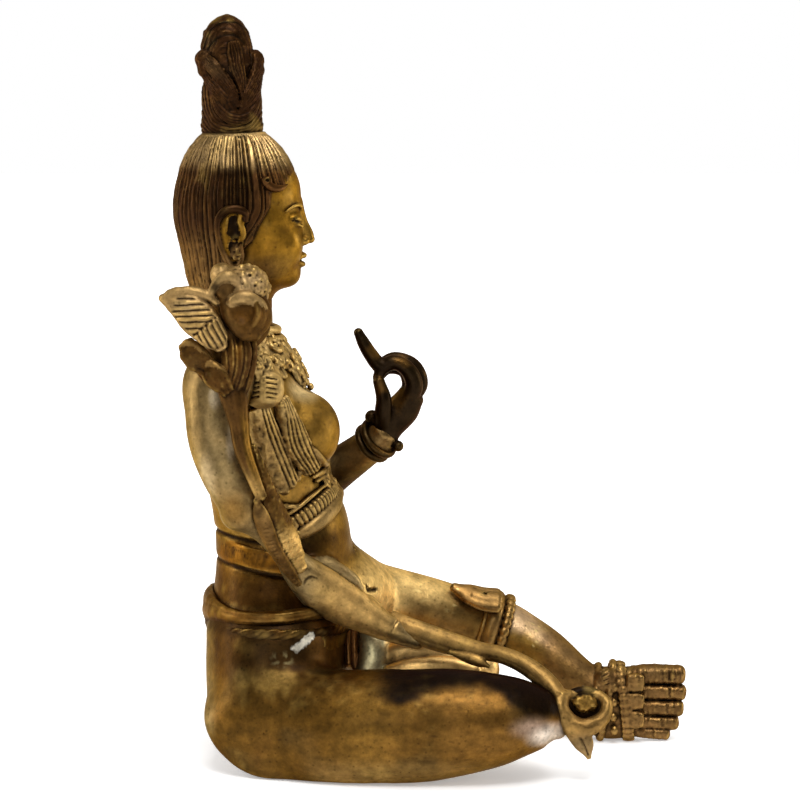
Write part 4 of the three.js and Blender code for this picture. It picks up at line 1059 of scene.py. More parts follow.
hips.add(Tube([(44, -4, 29), (35, -1, 33), (29, 8, 31.5), (24, 20, 28)], [6.4, 8.0, 8.2, 6.6], [5, 5.6, 5.4, 4.4], side=(0, 0, 1)), 2.5, GREY)
for i in range(5):
    hips.add(Ball((21 + i * 2.6, 26.5 - i * 0.5, 27.5 + i * 0.8), (1.9, 4.4, 2.0)), 0.6, GREY)
# heel, instep and a fold of cloth seen between the legs
hips.add(Tube([(36, 6, 33), (47, 3, 33.5), (59, 0, 32), (70, -6, 28)], [7.5, 7.6, 7.0, 5.6], [7, 7, 6.4, 5.4]), 2.0, SKIN)
hips.add(Tube(q3([(372, 630, -6), (374, 645, -8.5), (374, 660, -10), (371, 676, -11)]), [4.6, 5.0, 5.2, 5.2], [3.6, 3.8, 3.8, 3.8]), 0.5, GREY)
hips.add(Tube(q3([(390, 678, -14), (410, 674, -15), (446, 671, -16), (476, 674, -17)]), [4.4, 5.0, 4.8, 3.8], [3.0, 3.4, 3.2, 2.6]), 0.8, GREY)
hips.add(Tube(q3([(384, 664, -9), (402, 656, -10), (430, 653, -11), (462, 660, -13), (480, 668, -14)]), [4.2, 5.4, 5.0, 4.2, 2.6], [3.0, 3.6, 3.4, 3.0, 2.0]), 0.8, GREY)
for rows in ([(348, 628, -6.5), (348.5, 645, -8.5), (349, 664, -10)], [(354.5, 630, -5.5), (355, 647, -7.5), (355.5, 668, -9)]):
    hips.add(Tube(q3(rows), [1.2, 1.25, 1.2], [2.4, 2.4, 2.4]), 0.3, ORN)
# flat underside, and the line under the leg where the wax was trimmed
hips.keep(lambda P: 0.02 - P[:, 2], 0.9)
hips.keep(lambda P: P[:, 2] - 49.0, 0.5)
hips.keep(lambda P: 21.0 * (np.sqrt((np.maximum(3 - P[:, 0], 0) / 23.6) ** 2 + (np.maximum(20 - P[:, 2], 0) / 20) ** 2) - 1) * (P[:, 2] < 46) - 5.0 * (P[:, 2] >= 46), 1.0)
# pits and dents of the cast
_p = q(361.5, 741.5, -52)
_ph, _pn = hit(hips, 361.5, 741.5)
hips.cut(Ball(_ph, 0.85), 0.3)
hips.add(Ball(_ph + np.array([0, 0.5, 0]), 0.5), 0.2, SKIN)
for u, v, r in [(352, 716, 0.45), (301, 700, 0.35), (436, 728, 0.4), (489, 716, 0.35), (263, 733, 0.4), (330, 760, 0.4), (405, 690, 0.3), (512, 745, 0.35)]:
    _ph, _pn = hit(hips, u, v)
    hips.cut(Ball(_ph, 0.75 * r), 0.2)


def dents(P, d):
    return 0.16 * noise(P, 9.0) + 0.05 * noise(P, 3.1)


hips.carve(dents, (-200, -200, -200), (200, 200, 200))

# ------------------------------------------------------------------ girdle
girdle = piece("girdle", 0.4, 55000, "ornament")
ring_pts, ring_r, ring_s = [], [], []
for a in np.linspace(0, 2 * math.pi, 33)[:-1]:
    c, s = math.cos(a), math.sin(a)
    ring_pts.append((1.6 + (23.6 if c > 0 else 21.0) * c, 32.6 * s, 50.6 - 1.4 * max(-c, 0) + 0.8 * max(c, 0)))
    ring_r.append(2.3 + 4.2 * max(-c, 0) ** 4)
    ring_s.append((c / 24, s / 34, 0))


def twist(n, pitch, amp):
    """A rope's lay: strands that wind round the axis."""
    def f(L, x, y, rho, a, b, P):
        ang = np.arctan2(y, x)
        return amp * (np.abs(np.cos(0.5 * (n * ang + 2 * np.pi * L / pitch))) ** 0.7 - 1) * np.clip(1 - np.abs(rho - 1) * 1.2, 0, 1)
    return f


def folds(L, x, y, rho, a, b, P):
    """Long soft folds of a rolled cloth."""
    w = np.cos(3.0 * np.arctan2(y, x) + 0.9 * np.sin(L * 0.13) + 1.2)
    return (0.3 * (np.abs(w) ** 0.6 - 1) + 0.12 * noise(P, 2.2)) * np.clip(1 - np.abs(rho - 1), 0, 1)


girdle.add(Tube(ring_pts, ring_r, [1.9 + 1.1 * max(-math.cos(a), 0) ** 4 for a in np.linspace(0, 2 * math.pi, 33)[:-1]], side=np.array(ring_s), closed=True, relief=folds), 0.4, BAND)
low = [(1.6 + (24.6 if math.cos(a) > 0 else 22.2) * math.cos(a), 34.6 * math.sin(a), 45.6 - 1.0 * max(-math.cos(a), 0) - 1.6 * max(math.cos(a), 0)) for a in np.linspace(0, 2 * math.pi, 33)[:-1]]
girdle.add(Tube(low, 1.9, 1.0, side=np.array(ring_s), closed=True, relief=twist(3, 4.2, 0.35)), 0.3, BAND)

# --------------------------------------------------------- left lower leg
shin = piece("left_lower_leg", 0.42, 85000, "skin")
K1, K2 = q(488.5, 626.5, 28), q(501, 629.5, 28)
AX = np.array([0.955, 0.03, -0.295])
AX /= np.linalg.norm(AX)
FR = turn(AX)
shin.add(Tube([K1 - AX * 1.0, K2, (84, 26.5, 32.2), (91, 24.5, 28.5), (100, 21, 21.8), (106, 19.5, 18)], [9.4, 9.8, 9.1, 8.2, 7.2, 6.6], [9.8, 10.2, 9.5, 8.6, 7.2, 6.6], cap=0.5), 0.5, SKIN)


def hoop(f, c, r, t, t2, k, tag, relief=None):
    pts = [c + (FR[0] * math.cos(a) + FR[1] * math.sin(a)) * r for a in np.linspace(0, 2 * math.pi, 25)[:-1]]
    out = [FR[0] * math.cos(a) + FR[1] * math.sin(a) for a in np.linspace(0, 2 * math.pi, 25)[:-1]]
    f.add(Tube(pts, t, t2, side=np.array(out), closed=True, relief=relief), k, tag)


hoop(shin, K1, 10.7, 2.6, 2.2, 0.3, ORN)
hoop(shin, K1 - AX * 3.0, 10.3, 0.9, 0.9, 0.3, ORN)
hoop(shin, K2, 10.2, 1.5, 1.0, 0.3, DARK)
NB = 25
for i in range(NB):
    a = 2 * math.pi * (i + 0.3) / NB
    shin.add(Ball(K2 + (FR[0] * math.cos(a) + FR[1] * math.sin(a)) * 11.2, (1.9, 1.35, 1.75), axis=AX, ref=FR[0] * math.cos(a) + FR[1] * math.sin(a)), 0.2, ORN)
# pointed crest over the knee
crest_n = np.array([0.1, -0.62, 0.78])
crest = q3([(497, 600.5, 18.4), (484, 599, 18.0), (468, 593.5, 18.2), (454, 587.5, 18.6)])
shin.add(Tube(crest, [5.2, 5.0, 4.0, 1.8], [2.5, 2.4, 2.1, 1.5], side=crest_n, cap=0.9,
              relief=lambda L, x, y, rho, a, b, P: 0.35 * (np.abs(np.cos(np.pi * x * 1.3)) ** 0.6 - 1) * (L < 9)), 0.3, ORN)
shin.add(Tube(q3([(486, 606, 17.6), (477, 602, 17.6), (470, 599, 18.2)]), [1.9, 1.7, 0.9], [1.3, 1.2, 0.8]), 0.3, ORN)
shin.cut(Tube(q3([(473.5, 598.5, 17.2), (485.5, 594, 17.4)]), [0.4, 0.55]), 0.2, DARK)
# foot on its outer edge
shin.add(Tube([(98, 21.6, 15.4), (104, 20.6, 13.6), (111, 20, 12.7), (117, 20.4, 12.4), (121, 20.6, 12.2)], [8.0, 10.2, 12.2, 12.0, 11.0], [6.4, 6.8, 7.0, 6.6, 5.2], side=(0, 1, 0), cap=0.5), 2.5, SKIN)
TOES = [(22.5, 3.3, 138.0), (16.6, 2.75, 138.2), (11.2, 2.8, 137.4), (6.2, 2.45, 135.8), (2.5, 2.1, 132.8)]
for i, (z, r, x) in enumerate(TOES):
    shin.add(Tube([(117, 20.3, z * 0.9 + 1.2), (124, 19.4, z * 0.98 + 0.3), (x - 6.2, 18.8, z), (x - r * 0.85, 18.6, z - 0.2)], [r * 0.92, r * 1.0, r * 0.95, r * 1.0], [r * 1.1, r * 1.25, r * 1.25, r * 1.15], cap=0.8, power=2.5, relief=lambda L, x_, y_, rho, a, b, P: 0.16 * noise(P * np.array([1.9, 1, 0.8], np.float32), 1.5) + 0.12 * (np.abs(np.cos(P[:, 0] * 1.7)) ** 0.7 - 1)), 0.3, SKIN)

    shin.cut(Tube([(x - 5.9, 18.4 - r * 0.95, z - r * 0.5), (x - 6.2, 18.4 - r * 1.05, z), (x - 5.9, 18.4 - r * 0.95, z + r * 0.5)], 0.28), 0.5)
for x in (129.4, 131.6, 133.6, 135.4):
    shin.cut(Tube([(x, 15.2, 20.8), (x + 0.3, 14.9, 22.6), (x, 15.4, 24.6)], 0.2), 0.25, DARK)
# ornaments of the foot: two straps, blocks between them, a beaded band
for x0, r1, tt in [(106.6, 12.0, 1.25), (111.2, 13.1, 1.2)]:
    pts = [(x0 + 1.2 * math.cos(a) * 0, 20.1 + 7.9 * math.sin(a), 13.1 + r1 * math.cos(a)) for a in np.linspace(0, 2 * math.pi, 25)[:-1]]
    pts = [(x + 2.2 * (z - 13) / 13, y, z) for x, y, z in pts]
    shin.add(Tube(pts, tt, closed=True, relief=ribs(2.3, 0.3)), 0.4, ORN)
pts = [(117.2 - 1.6 * (math.cos(a)), 20.2 + 7.7 * math.sin(a), 12.8 + 12.9 * math.cos(a)) for a in np.linspace(0, 2 * math.pi, 25)[:-1]]
shin.add(Tube(pts, 2.1, 1.2, side=np.array([(0, math.sin(a), math.cos(a)) for a in np.linspace(0, 2 * math.pi, 25)[:-1]]), closed=True, relief=lambda L, x, y, rho, a, b, P: 0.4 * (np.abs(np.cos(np.pi * L / 2.4)) ** 0.7 - 1) + 0.2 * (np.abs(np.cos(np.pi * x)) ** 0.7 - 1)), 0.4, ORN)
for z, hz in ((20.6, 2.9), (14.4, 2.7), (8.2, 2.8)):
    shin.add(Ball((120.4, 13.6, z), (2.9, 1.7, hz), power=4.0, relief=lambda x_, P: 0.25 * np.abs(np.cos(x_[:, 0] * 3.0)) + 0.12 * noise(P, 0.9)), 0.4, ORN)
for x, z in ((113.6, 19), (113.4, 14), (113.2, 9), (113.6, 4.6)):
    shin.add(Ball((x, 13.0, z), (1.35, 1.3, 1.6)), 0.3, ORN)
# strokes on the worn ankle bone
shin.add(Ball(q(606, 680, 14.5), (3.6, 2.6, 4.0)), 1.2, SKIN)
for u, v in ((601, 671), (602.5, 675.5), (604, 680), (605.5, 684.5)):
    _a, _b = hit(shin, u - 1.5, v + 1.2)[0], hit(shin, u + 5, v - 1.6)[0]
    shin.cut(Tube([_a, (_a + _b) / 2, _b], 0.26), 0.2, DARK)
shin.keep(lambda P: 0.04 - P[:, 2], 0.3)
shin.keep(lambda P: (K1[0] - 4.5) - P[:, 0] - 60 * smooth(P[:, 2], 43.5, 45.5), 0.3)

# ------------------------------------------------------------------ flower
flower = piece("lotus", 0.33, 90000, "flower")


def lie(n, c, s, pitch, amp, lo=-0.8, hi=0.8):
    """Ridges on a petal that run along (c, s) in the XZ plane."""
    def f(L, x, y, rho, a, b, P):
        t = -s * P[:, 0] + c * P[:, 2]
        on = (1 - smooth(np.abs(x), 0.55, 0.85)) * (1 - smooth(np.abs(L / n - 0.5), 0.3, 0.45))
        return amp * (np.abs(np.cos(np.pi * t / pitch)) ** 0.7 - 1) * on
    return f


def petal(rows, ra, rb, y=None, side=(0, 1, 0), relief=None, k=0.5, tag=PALE, cap=0.85, dish=0.0, lip=0.0):
    pts = q3(rows)

    def r(L, x, y_, rho, a, b, P):
        out = 0.0 if relief is None else relief(L, x, y_, rho, a, b, P)
        if dish:
            out = out - dish * (1 - smooth(np.abs(x), 0.35, 0.8)) + lip * smooth(np.abs(x), 0.72, 0.95)
        return out
    flower.add(Tube(pts, ra, rb, side=side, relief=r, cap=cap), k, tag)


flower.add(Tube(q3([(234, 398, -58.5), (230, 372, -57.5), (229, 345, -56.5), (230, 318, -56)]), [2.8, 4.8, 7.2, 7.6], [2.6, 4.0, 6.0, 6.4]), 0.5, STEM)
# seed head with its pits
SEED = q(242, 292, -56.5)
flower.add(Ball(SEED, (8.2, 7.6, 8.0), relief=lambda x, P: 0.35 * noise(P, 2.2) + 0.15 * noise(P, 1.1)), 1.0, PALE)
flower.add(Ball(q(222, 275, -57.5), (3.6, 5.0, 3.6), relief=lambda x, P: 0.3 * noise(P, 1.8)), 1.2, PALE)
for i in range(64):
    z_ = 0.98 - 1.15 * i / 64
    a_ = i * 2.399963 + 0.35 * math.sin(i * 2.7)
    n_ = np.array([math.cos(a_) * math.sqrt(max(1 - z_ * z_, 0)), math.sin(a_) * math.sqrt(max(1 - z_ * z_, 0)), z_])
    if n_[0] > -0.1 or n_[1] > 0.2:
        flower.add(Ball(SEED + n_ * np.array([7.7, 7.1, 7.5]) + np.array([0.5, 0, 0.7]), 0.9), 1.2, PALE)
        flower.cut(Ball(SEED + n_ * np.array([8.5, 7.9, 8.3]), 0.34 + 0.12 * (i % 3 == 0)), 0.5, PALE)
# curled petal on the near side, hollow at its root
petal([(209, 301, -61), (213, 289, -62.5), (220, 279.5, -63.5), (229, 276.5, -63.5), (236, 281, -63), (239.5, 290, -62.5)], [1.0, 1.3, 1.6, 1.9, 1.7, 1.1], [1.8, 1.7, 1.8, 2.0, 1.8, 1.2], k=0.3, tag=PALE)
flower.add(Ball(q(227, 288, -62), (3.6, 2.6, 4.2), axis=(0.4, 0, 1)), 0.7, STEM)
flower.cut(Ball(q(221, 293, -65.5), (1.5, 1.8, 2.6), axis=(0.3, 0, 1)), 0.9, STEM)
# petals on the far side
petal([(228, 345, -51), (206, 318, -48.5), (190, 296, -48)], [5.2, 6.6, 1.6], [2.6, 2.4, 1.2], k=0.6, tag=STEM)
petal([(232, 345, -50), (236, 312, -46.5), (236, 280, -47.5)], [5.4, 7.4, 2.2], [2.4, 2.6, 1.2], k=0.6, tag=STEM)
petal([(236, 345, -51), (254, 322, -48), (264, 304, -48.5)], [5.0, 5.6, 1.6], [2.4, 2.2, 1.2], k=0.6, tag=STEM)
# long petals that fall to the stem
for rows, ra in [([(249, 334, -57.5), (250.5, 350, -58.5), (248.5, 368, -59), (245, 384, -59.5), (241, 398, -59.5)], [1.6, 2.2, 2.2, 1.9, 1.4]),
                 ([(241, 334, -60.5), (243, 350, -61.5), (242, 366, -61.5), (238, 382, -61), (233, 396, -60.5)], [1.8, 2.7, 2.5, 2.0, 1.4]),
                 ([(233, 338, -61.5), (234, 351, -62.5), (234, 365, -62.5), (231, 379, -62), (227, 392, -61)], [1.4, 2.2, 2.2, 1.8, 1.3]),
                 ([(226, 346, -62), (227, 356, -62.8), (228, 367, -62.8), (226, 379, -62.5)], [1.2, 1.8, 1.8, 1.3])]:
    petal(rows, ra, [r * 0.8 for r in ra], k=0.3, tag=STEM, relief=lambda L, x, y, rho, a, b, P: -0.3 * np.exp(-((x + 0.2) / 0.13) ** 2) + 0.12 * noise(P, 1.4))
# lower left petals, one above the other, each with a worn rim
petal([(187, 345, -61), (191, 352, -62.2), (199, 361, -62.6), (207, 369, -61.8)], [2.6, 3.7, 3.8, 2.6], [2.0, 2.6, 2.5, 1.7], k=0.3, tag=STEM, cap=1.0, dish=0.4, lip=0.15, relief=lambda L, x, y, rho, a, b, P: 0.16 * (np.abs(np.cos(np.pi * (x * 1.3 + 0.12 * L))) ** 0.6 - 1) * (np.abs(x) < 0.8) + 0.2 * noise(P, 1.7))
flower.add(Tube(q3([(182, 348, -61.6), (187, 342.5, -62.4), (195, 345.5, -63), (204, 352.5, -63.2), (211, 359, -62.8)]), [0.8, 1.1, 1.2, 1.1, 0.7]), 0.9, ORN)
petal([(206, 368, -62), (213, 375, -63.2), (221, 383, -63), (228, 391, -61.8)], [2.2, 3.4, 3.2, 2.0], [1.8, 2.5, 2.3, 1.5], k=0.3, tag=STEM, cap=1.0, dish=0.4, lip=0.15, relief=lambda L, x, y, rho, a, b, P: 0.16 * (np.abs(np.cos(np.pi * (x * 1.3 - 0.12 * L))) ** 0.6 - 1) * (np.abs(x) < 0.8) + 0.2 * noise(P, 1.7))
flower.add(Tube(q3([(201.5, 369, -62), (206, 364, -62.8), (213, 364, -63.4), (221, 370, -63.8), (229, 379, -63)]), [0.8, 1.1, 1.2, 1.1, 0.7]), 0.9, ORN)
petal([(199, 366, -60), (206, 374, -60.5), (215, 382, -60), (225, 391, -59.5)], [1.8, 2.2, 2.0, 1.4], [1.8, 1.8, 1.6, 1.4], k=0.5, tag=STEM)


# the long folded petal on the left, ribbed in two fans
def fans(L, x, y, rho, a, b, P):
    first = 1 - smooth(L, 16.2, 17.0)
    t1 = -0.06 * P[:, 0] + 0.99 * P[:, 2] + 0.4 * noise(P, 4.0)
    t2 = 0.90 * P[:, 0] + 0.43 * P[:, 2] + 0.30 * noise(P, 4.0)
    w = (np.abs(np.cos(np.pi * t1 / 1.8)) - 1) * first + (np.abs(np.cos(np.pi * t2 / 1.75)) - 1) * (1 - first)
    on = (1 - smooth(np.abs(x), 0.72, 0.95)) * smooth(L, 4.5, 6.5) * (1 - smooth(L, 23.5, 25.0))
    return 0.62 * w * on - 0.6 * np.exp(-((L - 16.6) / 0.45) ** 2) * (1 - smooth(np.abs(x), 0.7, 1.0)) + 0.12 * noise(P, 1.5)


petal([(162, 298, -60.5), (172, 302, -62), (185, 308.5, -63.2), (198, 319, -64.2), (209, 331, -64.8), (217, 341, -64.6), (221, 347, -63.6)], [1.2, 2.9, 4.8, 5.6, 4.9, 3.8, 2.2], [1.3, 2.2, 2.9, 3.2, 3.0, 2.4, 1.5], relief=fans, k=0.4, tag=PALE)
flower.add(Tube(q3([(163, 299, -61.5), (171, 293.5, -62), (183, 291.5, -62.4), (196, 292, -62.6), (207, 296, -62.6), (216, 303, -62.4)]), [1.0, 1.4, 1.6, 1.6, 1.5, 1.0], [1.2, 1.7, 1.9, 1.9, 1.7, 1.2], relief=rough(0.18, 2.0)), 0.9, PALE)
# domed petal in front: a cupped face, a thick rim above, folds to the right
flower.add(Ball(q(247, 313, -60), (7.6, 6.2, 7.4), axis=(0.3, 0, 1)), 0.4, STEM)
flower.add(Tube(q3([(224, 303, -62), (229, 313, -63.4), (237, 324, -64), (247, 333, -63.6), (257, 335, -62.4)]), [1.6, 2.4, 2.8, 2.6, 1.8], [1.6, 2.2, 2.4, 2.2, 1.6]), 0.8, STEM)
flower.cut(Ball(q(242.5, 312, -67.6), (4.4, 3.2, 3.6), axis=(0.5, 0, 1)), 1.5, STEM)
flower.add(Tube(q3([(229, 306, -63.4), (234, 300.5, -64.6), (242, 297.5, -65.2), (251, 298.5, -65), (259, 303, -64.2), (265, 311, -62.6)]), [1.0, 1.7, 1.9, 1.8, 1.5, 0.9], [1.0, 1.4, 1.5, 1.5, 1.3, 0.8], relief=rough(0.15, 1.8)), 1.3, PALE)
for rows, r in [([(256, 303, -65.6), (258, 314, -65.8), (254, 324, -65.2), (246, 331, -64.4)], 1.05), ([(262, 308, -64.6), (263, 318, -64.2), (258, 328, -63.8), (250, 334, -63.4)], 1.0), ([(267.5, 312, -62), (268, 321, -61.6), (263, 330, -61.6), (255, 336, -61.8)], 0.9)]:
    flower.add(Tube(q3(rows), [r * 0.6, r, r, r * 0.6]), 1.1, STEM)

# ------------------------------------------------------- stem, leaf and loop
stem = piece("stem_and_loop", 0.4, 50000, "stem")
stem.add(Tube(q3([(230, 384, -58.5), (234, 398, -59.5), (238.5, 423, -60.2), (242.5, 449, -61.5), (252.5, 476, -62.5), (261, 497, -62)]), [4.4, 4.2, 3.1, 2.7, 2.2, 1.9], [3.0, 3.0, 2.7, 2.4, 2.0, 1.7],
              relief=lambda L, x, y, rho, a, b, P: 0.3 * (np.abs(np.cos(np.pi * (x * 1.1 + 0.25))) ** 0.5 - 1)), 0.4, STEM)
# granular edge of the cloth that runs down the arm beside it
stem.add(Tube(q3([(254, 446, -58), (259, 462, -58.5), (266, 481, -57.5), (274, 502, -54.5), (283, 521, -50), (293, 541, -43.5), (300, 554, -38)]), [0.8, 1.5, 1.9, 2.3, 2.5, 2.3, 1.2], [1.4, 2.0, 2.4, 2.6, 2.6, 2.4, 1.4],
              relief=lambda L, x, y, rho, a, b, P: 0.22 * noise(P, 1.3) + 0.16 * noise(P, 0.7)), 0.5, ORN)
stem.add(Tube(q3([(259, 492, -58.5), (265, 506, -57), (273, 522, -53.5), (282, 540, -47), (291, 555.5, -40), (299, 567, -35.5)]), [1.6, 3.2, 3.9, 4.0, 3.7, 2.6], [1.4, 2.4, 3.0, 3.2, 3.0, 2.4],
              relief=lambda L, x, y, rho, a, b, P: 0.12 * noise(P, 1.5) + 0.14 * noise(P, 0.7)), 1.4, ORN)
LEAF = q3([(256.5, 501, -62.6), (260.0, 512, -61.2), (265, 527, -57), (271, 542, -52), (279.5, 557, -46), (289, 571, -39.5), (298, 584, -34.5)])


def leaf_relief(L, x, y, rho, a, b, P):
    notch = (np.abs(np.cos(np.pi * L / 1.9 + 1.1 * x)) ** 0.5 - 1) * (1 - smooth(np.abs(x - 0.3), 0.25, 0.5)) * 0.26 * (0.6 + 0.6 * noise(P, 2.5))
    return notch + 0.08 * noise(P, 1.2)


stem.add(Tube(LEAF, [1.0, 2.3, 2.9, 2.7, 2.5, 2.2, 1.4], [1.0, 1.4, 1.7, 1.7, 1.6, 1.5, 1.0], side=np.array([(0, -1, 0), (-0.1, -1, 0), (-0.3, -1, -0.1), (-0.45, -1, -0.25), (-0.5, -1, -0.3), (-0.5, -1, -0.3), (-0.5, -1, -0.3)], float),
              relief=leaf_relief, cap=0.9), 0.4, STEM)
# lower stem, from the hand to the loop
stem.add(Tube(q3([(392, 620, -17), (404, 626.5, -19), (431, 637, -21.5), (462, 646.5, -25), (482, 651, -27.5), (502, 655, -30), (523, 664, -33), (543, 678.5, -36.5), (555, 692, -39.5), (561, 704, -41.5)]),
              [3.2, 3.7, 3.9, 3.5, 2.9, 2.8, 3.0, 3.2, 3.1, 2.8], [2.6, 2.9, 3.0, 2.9, 2.7, 2.7, 2.8, 2.9, 2.9, 2.7],
              relief=lambda L, x, y, rho, a, b, P: 0.25 * (np.abs(np.cos(np.pi * (x * 0.9 + 0.2))) ** 0.5 - 1)), 0.4, STEM)
stem.add(Tube(q3([(450, 652, -27), (466, 657, -28.5), (479, 661.5, -29.8), (489, 666.5, -30.5)]), [0.8, 1.7, 1.8, 0.6], [0.9, 1.5, 1.4, 0.7]), 0.4, STEM)
# a dark back behind the loop's opening: painted shade seen through the hole
stem.add(Ball(q(584, 709, -39.5), (8.0, 2.4, 7.4)), 0.6, DARK)
loop = [(563, 697), (573, 694.5), (585, 692.5), (597, 694), (606, 702), (605, 714), (595, 724), (580, 728), (567, 722), (559.5, 709)]
stem.add(Tube([q(u, v, y) for (u, v), y in zip(loop, [-41.5, -39.8, -39.2, -39.8, -41.5, -43, -44, -44.4, -44.2, -43.2])], [2.3, 1.4, 1.2, 1.3, 1.7, 2.1, 2.8, 3.2, 3.4, 3.1], [2.3, 1.5, 1.3, 1.5, 2.0, 2.4, 2.6, 2.8, 2.8, 2.7], side=(0, 1, 0), closed=True,
              relief=lambda L, x, y, rho, a, b, P: 0.14 * noise(P, 1.5)), 0.7, STEM)
for u, v, y, r in [(579, 702, -41.8, (2.1, 1.2, 1.5)), (586, 700, -41.6, (2.3, 1.3, 1.7)), (592, 704.5, -41.8, (1.8, 1.2, 1.9)), (584, 707, -42, (2.5, 1.3, 1.6))]:
    stem.add(Ball(q(u, v, y), r, relief=lambda x, P: 0.35 * noise(P, 0.9)), 0.5, ORN)
stem.add(Tube(q3([(571, 724, -43.5), (579, 735, -44.5), (585, 746, -44.8), (589, 758, -44.6)]), [3.4, 3.5, 2.9, 0.8], [1.8, 1.8, 1.5, 0.6],
              relief=lambda L, x, y, rho, a, b, P: -0.4 * np.exp(-(x / 0.14) ** 2)), 0.5, STEM)


# ================================================================ to meshes
scene = bpy.context.scene


def lin(hexcode):
    c = [int(hexcode[i:i + 2], 16) / 255 for i in (0, 2, 4)]
    return np.array([x / 12.92 if x <= 0.04045 else ((x + 0.055) / 1.055) ** 2.4 for x in c], np.float32)


def largest(V, Q):
    """Drop crumbs: only components with a fair share of the corners stay."""
    n = len(V)
    lab = np.arange(n)
    E = np.vstack([Q[:, [0, 1]], Q[:, [1, 2]], Q[:, [2, 3]]])
    while True:
        m = np.minimum(lab[E[:, 0]], lab[E[:, 1]])
        new = lab.copy()
        np.minimum.at(new, E[:, 0], m)
        np.minimum.at(new, E[:, 1], m)
        np.minimum.at(new, lab[E[:, 0]], m)
        np.minimum.at(new, lab[E[:, 1]], m)
        new = new[new]
        new = new[new]
        if (new == lab).all():
            break
        lab = new
    size = np.bincount(lab, minlength=n)
    keep = size[lab] > max(60, 0.004 * n)
    if keep.all():
        return V, Q
    index = np.cumsum(keep) - 1
    Q = Q[keep[Q].all(1)]
    return V[keep], index[Q]


def mesh_of(name, V, F):
    me = bpy.data.meshes.new(name)
    k = F.shape[1]
    me.vertices.add(len(V))
    me.vertices.foreach_set("co", np.ascontiguousarray(V, np.float32).ravel())
    me.loops.add(k * len(F))
    me.loops.foreach_set("vertex_index", np.ascontiguousarray(F, np.int32).ravel())
    me.polygons.add(len(F))
    me.polygons.foreach_set("loop_start", np.arange(0, k * len(F), k, dtype=np.int32))
    me.update(calc_edges=True)
    return me


def project(f, V, rounds=2):
    h = f.h
    for _ in range(rounds):
        d = sample(f.D, f.lo, h, V, 4 * h)
        g = gradient(f.D, f.lo, h, V)
        n2 = np.maximum((g * g).sum(1), 1e-4 * h * h)
        s = -(d * 1.1 * h / n2)[:, None] * g
        size = np.sqrt((s * s).sum(1))
        s *= np.minimum(1, 0.45 * h / np.maximum(size, 1e-6))[:, None]
        V = V + s
    return V


def surface(f):
    f.grid()
    V, Q = nets(f.D, f.lo, f.h)
    V, Q = largest(V, Q)
    f.V, f.Q = project(f, V), Q


t_start = time.time()
for f in fields:
    surface(f)
print("fields done %.1f s" % (time.time() - t_start))

CORNERS = np.array([(a, b, c) for a in (-1, 1) for b in (-1, 1) for c in (-1, 1)], np.float32) / math.sqrt(3)
AXES = np.array([(1, 0, 0), (-1, 0, 0), (0, 1, 0), (0, -1, 0), (0, 0, 1), (0, 0, -1)], np.float32)
BASE = {SKIN: "87652B", HAIR: "301C0C", ORN: "806030", DARK: "170D05", STEM: "6E5230", GREY: "6E5632", BAND: "6F4A18", PALE: "A68A5A", ARM: "8A734A", THIGH: "87652B"}
STYLE = {"head": {SKIN: "845E1A", ORN: "5E4526"}, "chignon": {HAIR: "2E1A0A"}, "ornament": {ORN: "A88A55"}, "flower": {PALE: "96794C", STEM: "4C3314", DARK: "1E1207", ORN: "775A30"},
         "stem": {STEM: "94733F", ORN: "8A682F"}}
DEEP = lin("1C1006")
BROWN = lin("5C3D1A")
GOLD = lin("CBA658")
GREEN = lin("5F5A40")
# the near shin's top under a painted shadow: where the painted dark band ends, from back to knee
SHADOW_EDGE = np.array([q(u, v, -52) for u, v in [(372, 697), (400, 703), (427, 693), (450, 688), (480, 686.5), (500, 693), (513, 705), (527, 714), (545, 718), (562, 720)]])


def blob(P, c, r, soft=0.5):
    """1 inside a round patch, falling off to 0 at its edge."""
    d = np.sqrt((((P - np.array(c)) / np.array(r)) ** 2).sum(1))
    return 1 - smooth(d, 1 - soft, 1.0)


JOINED = [{"trunk", "right_hand"}, {"trunk", "left_hand"}, {"trunk", "hips_and_right_leg"}, {"head", "trunk"}, {"trunk", "left_lower_leg"}, {"right_hand", "stem_and_loop"}]


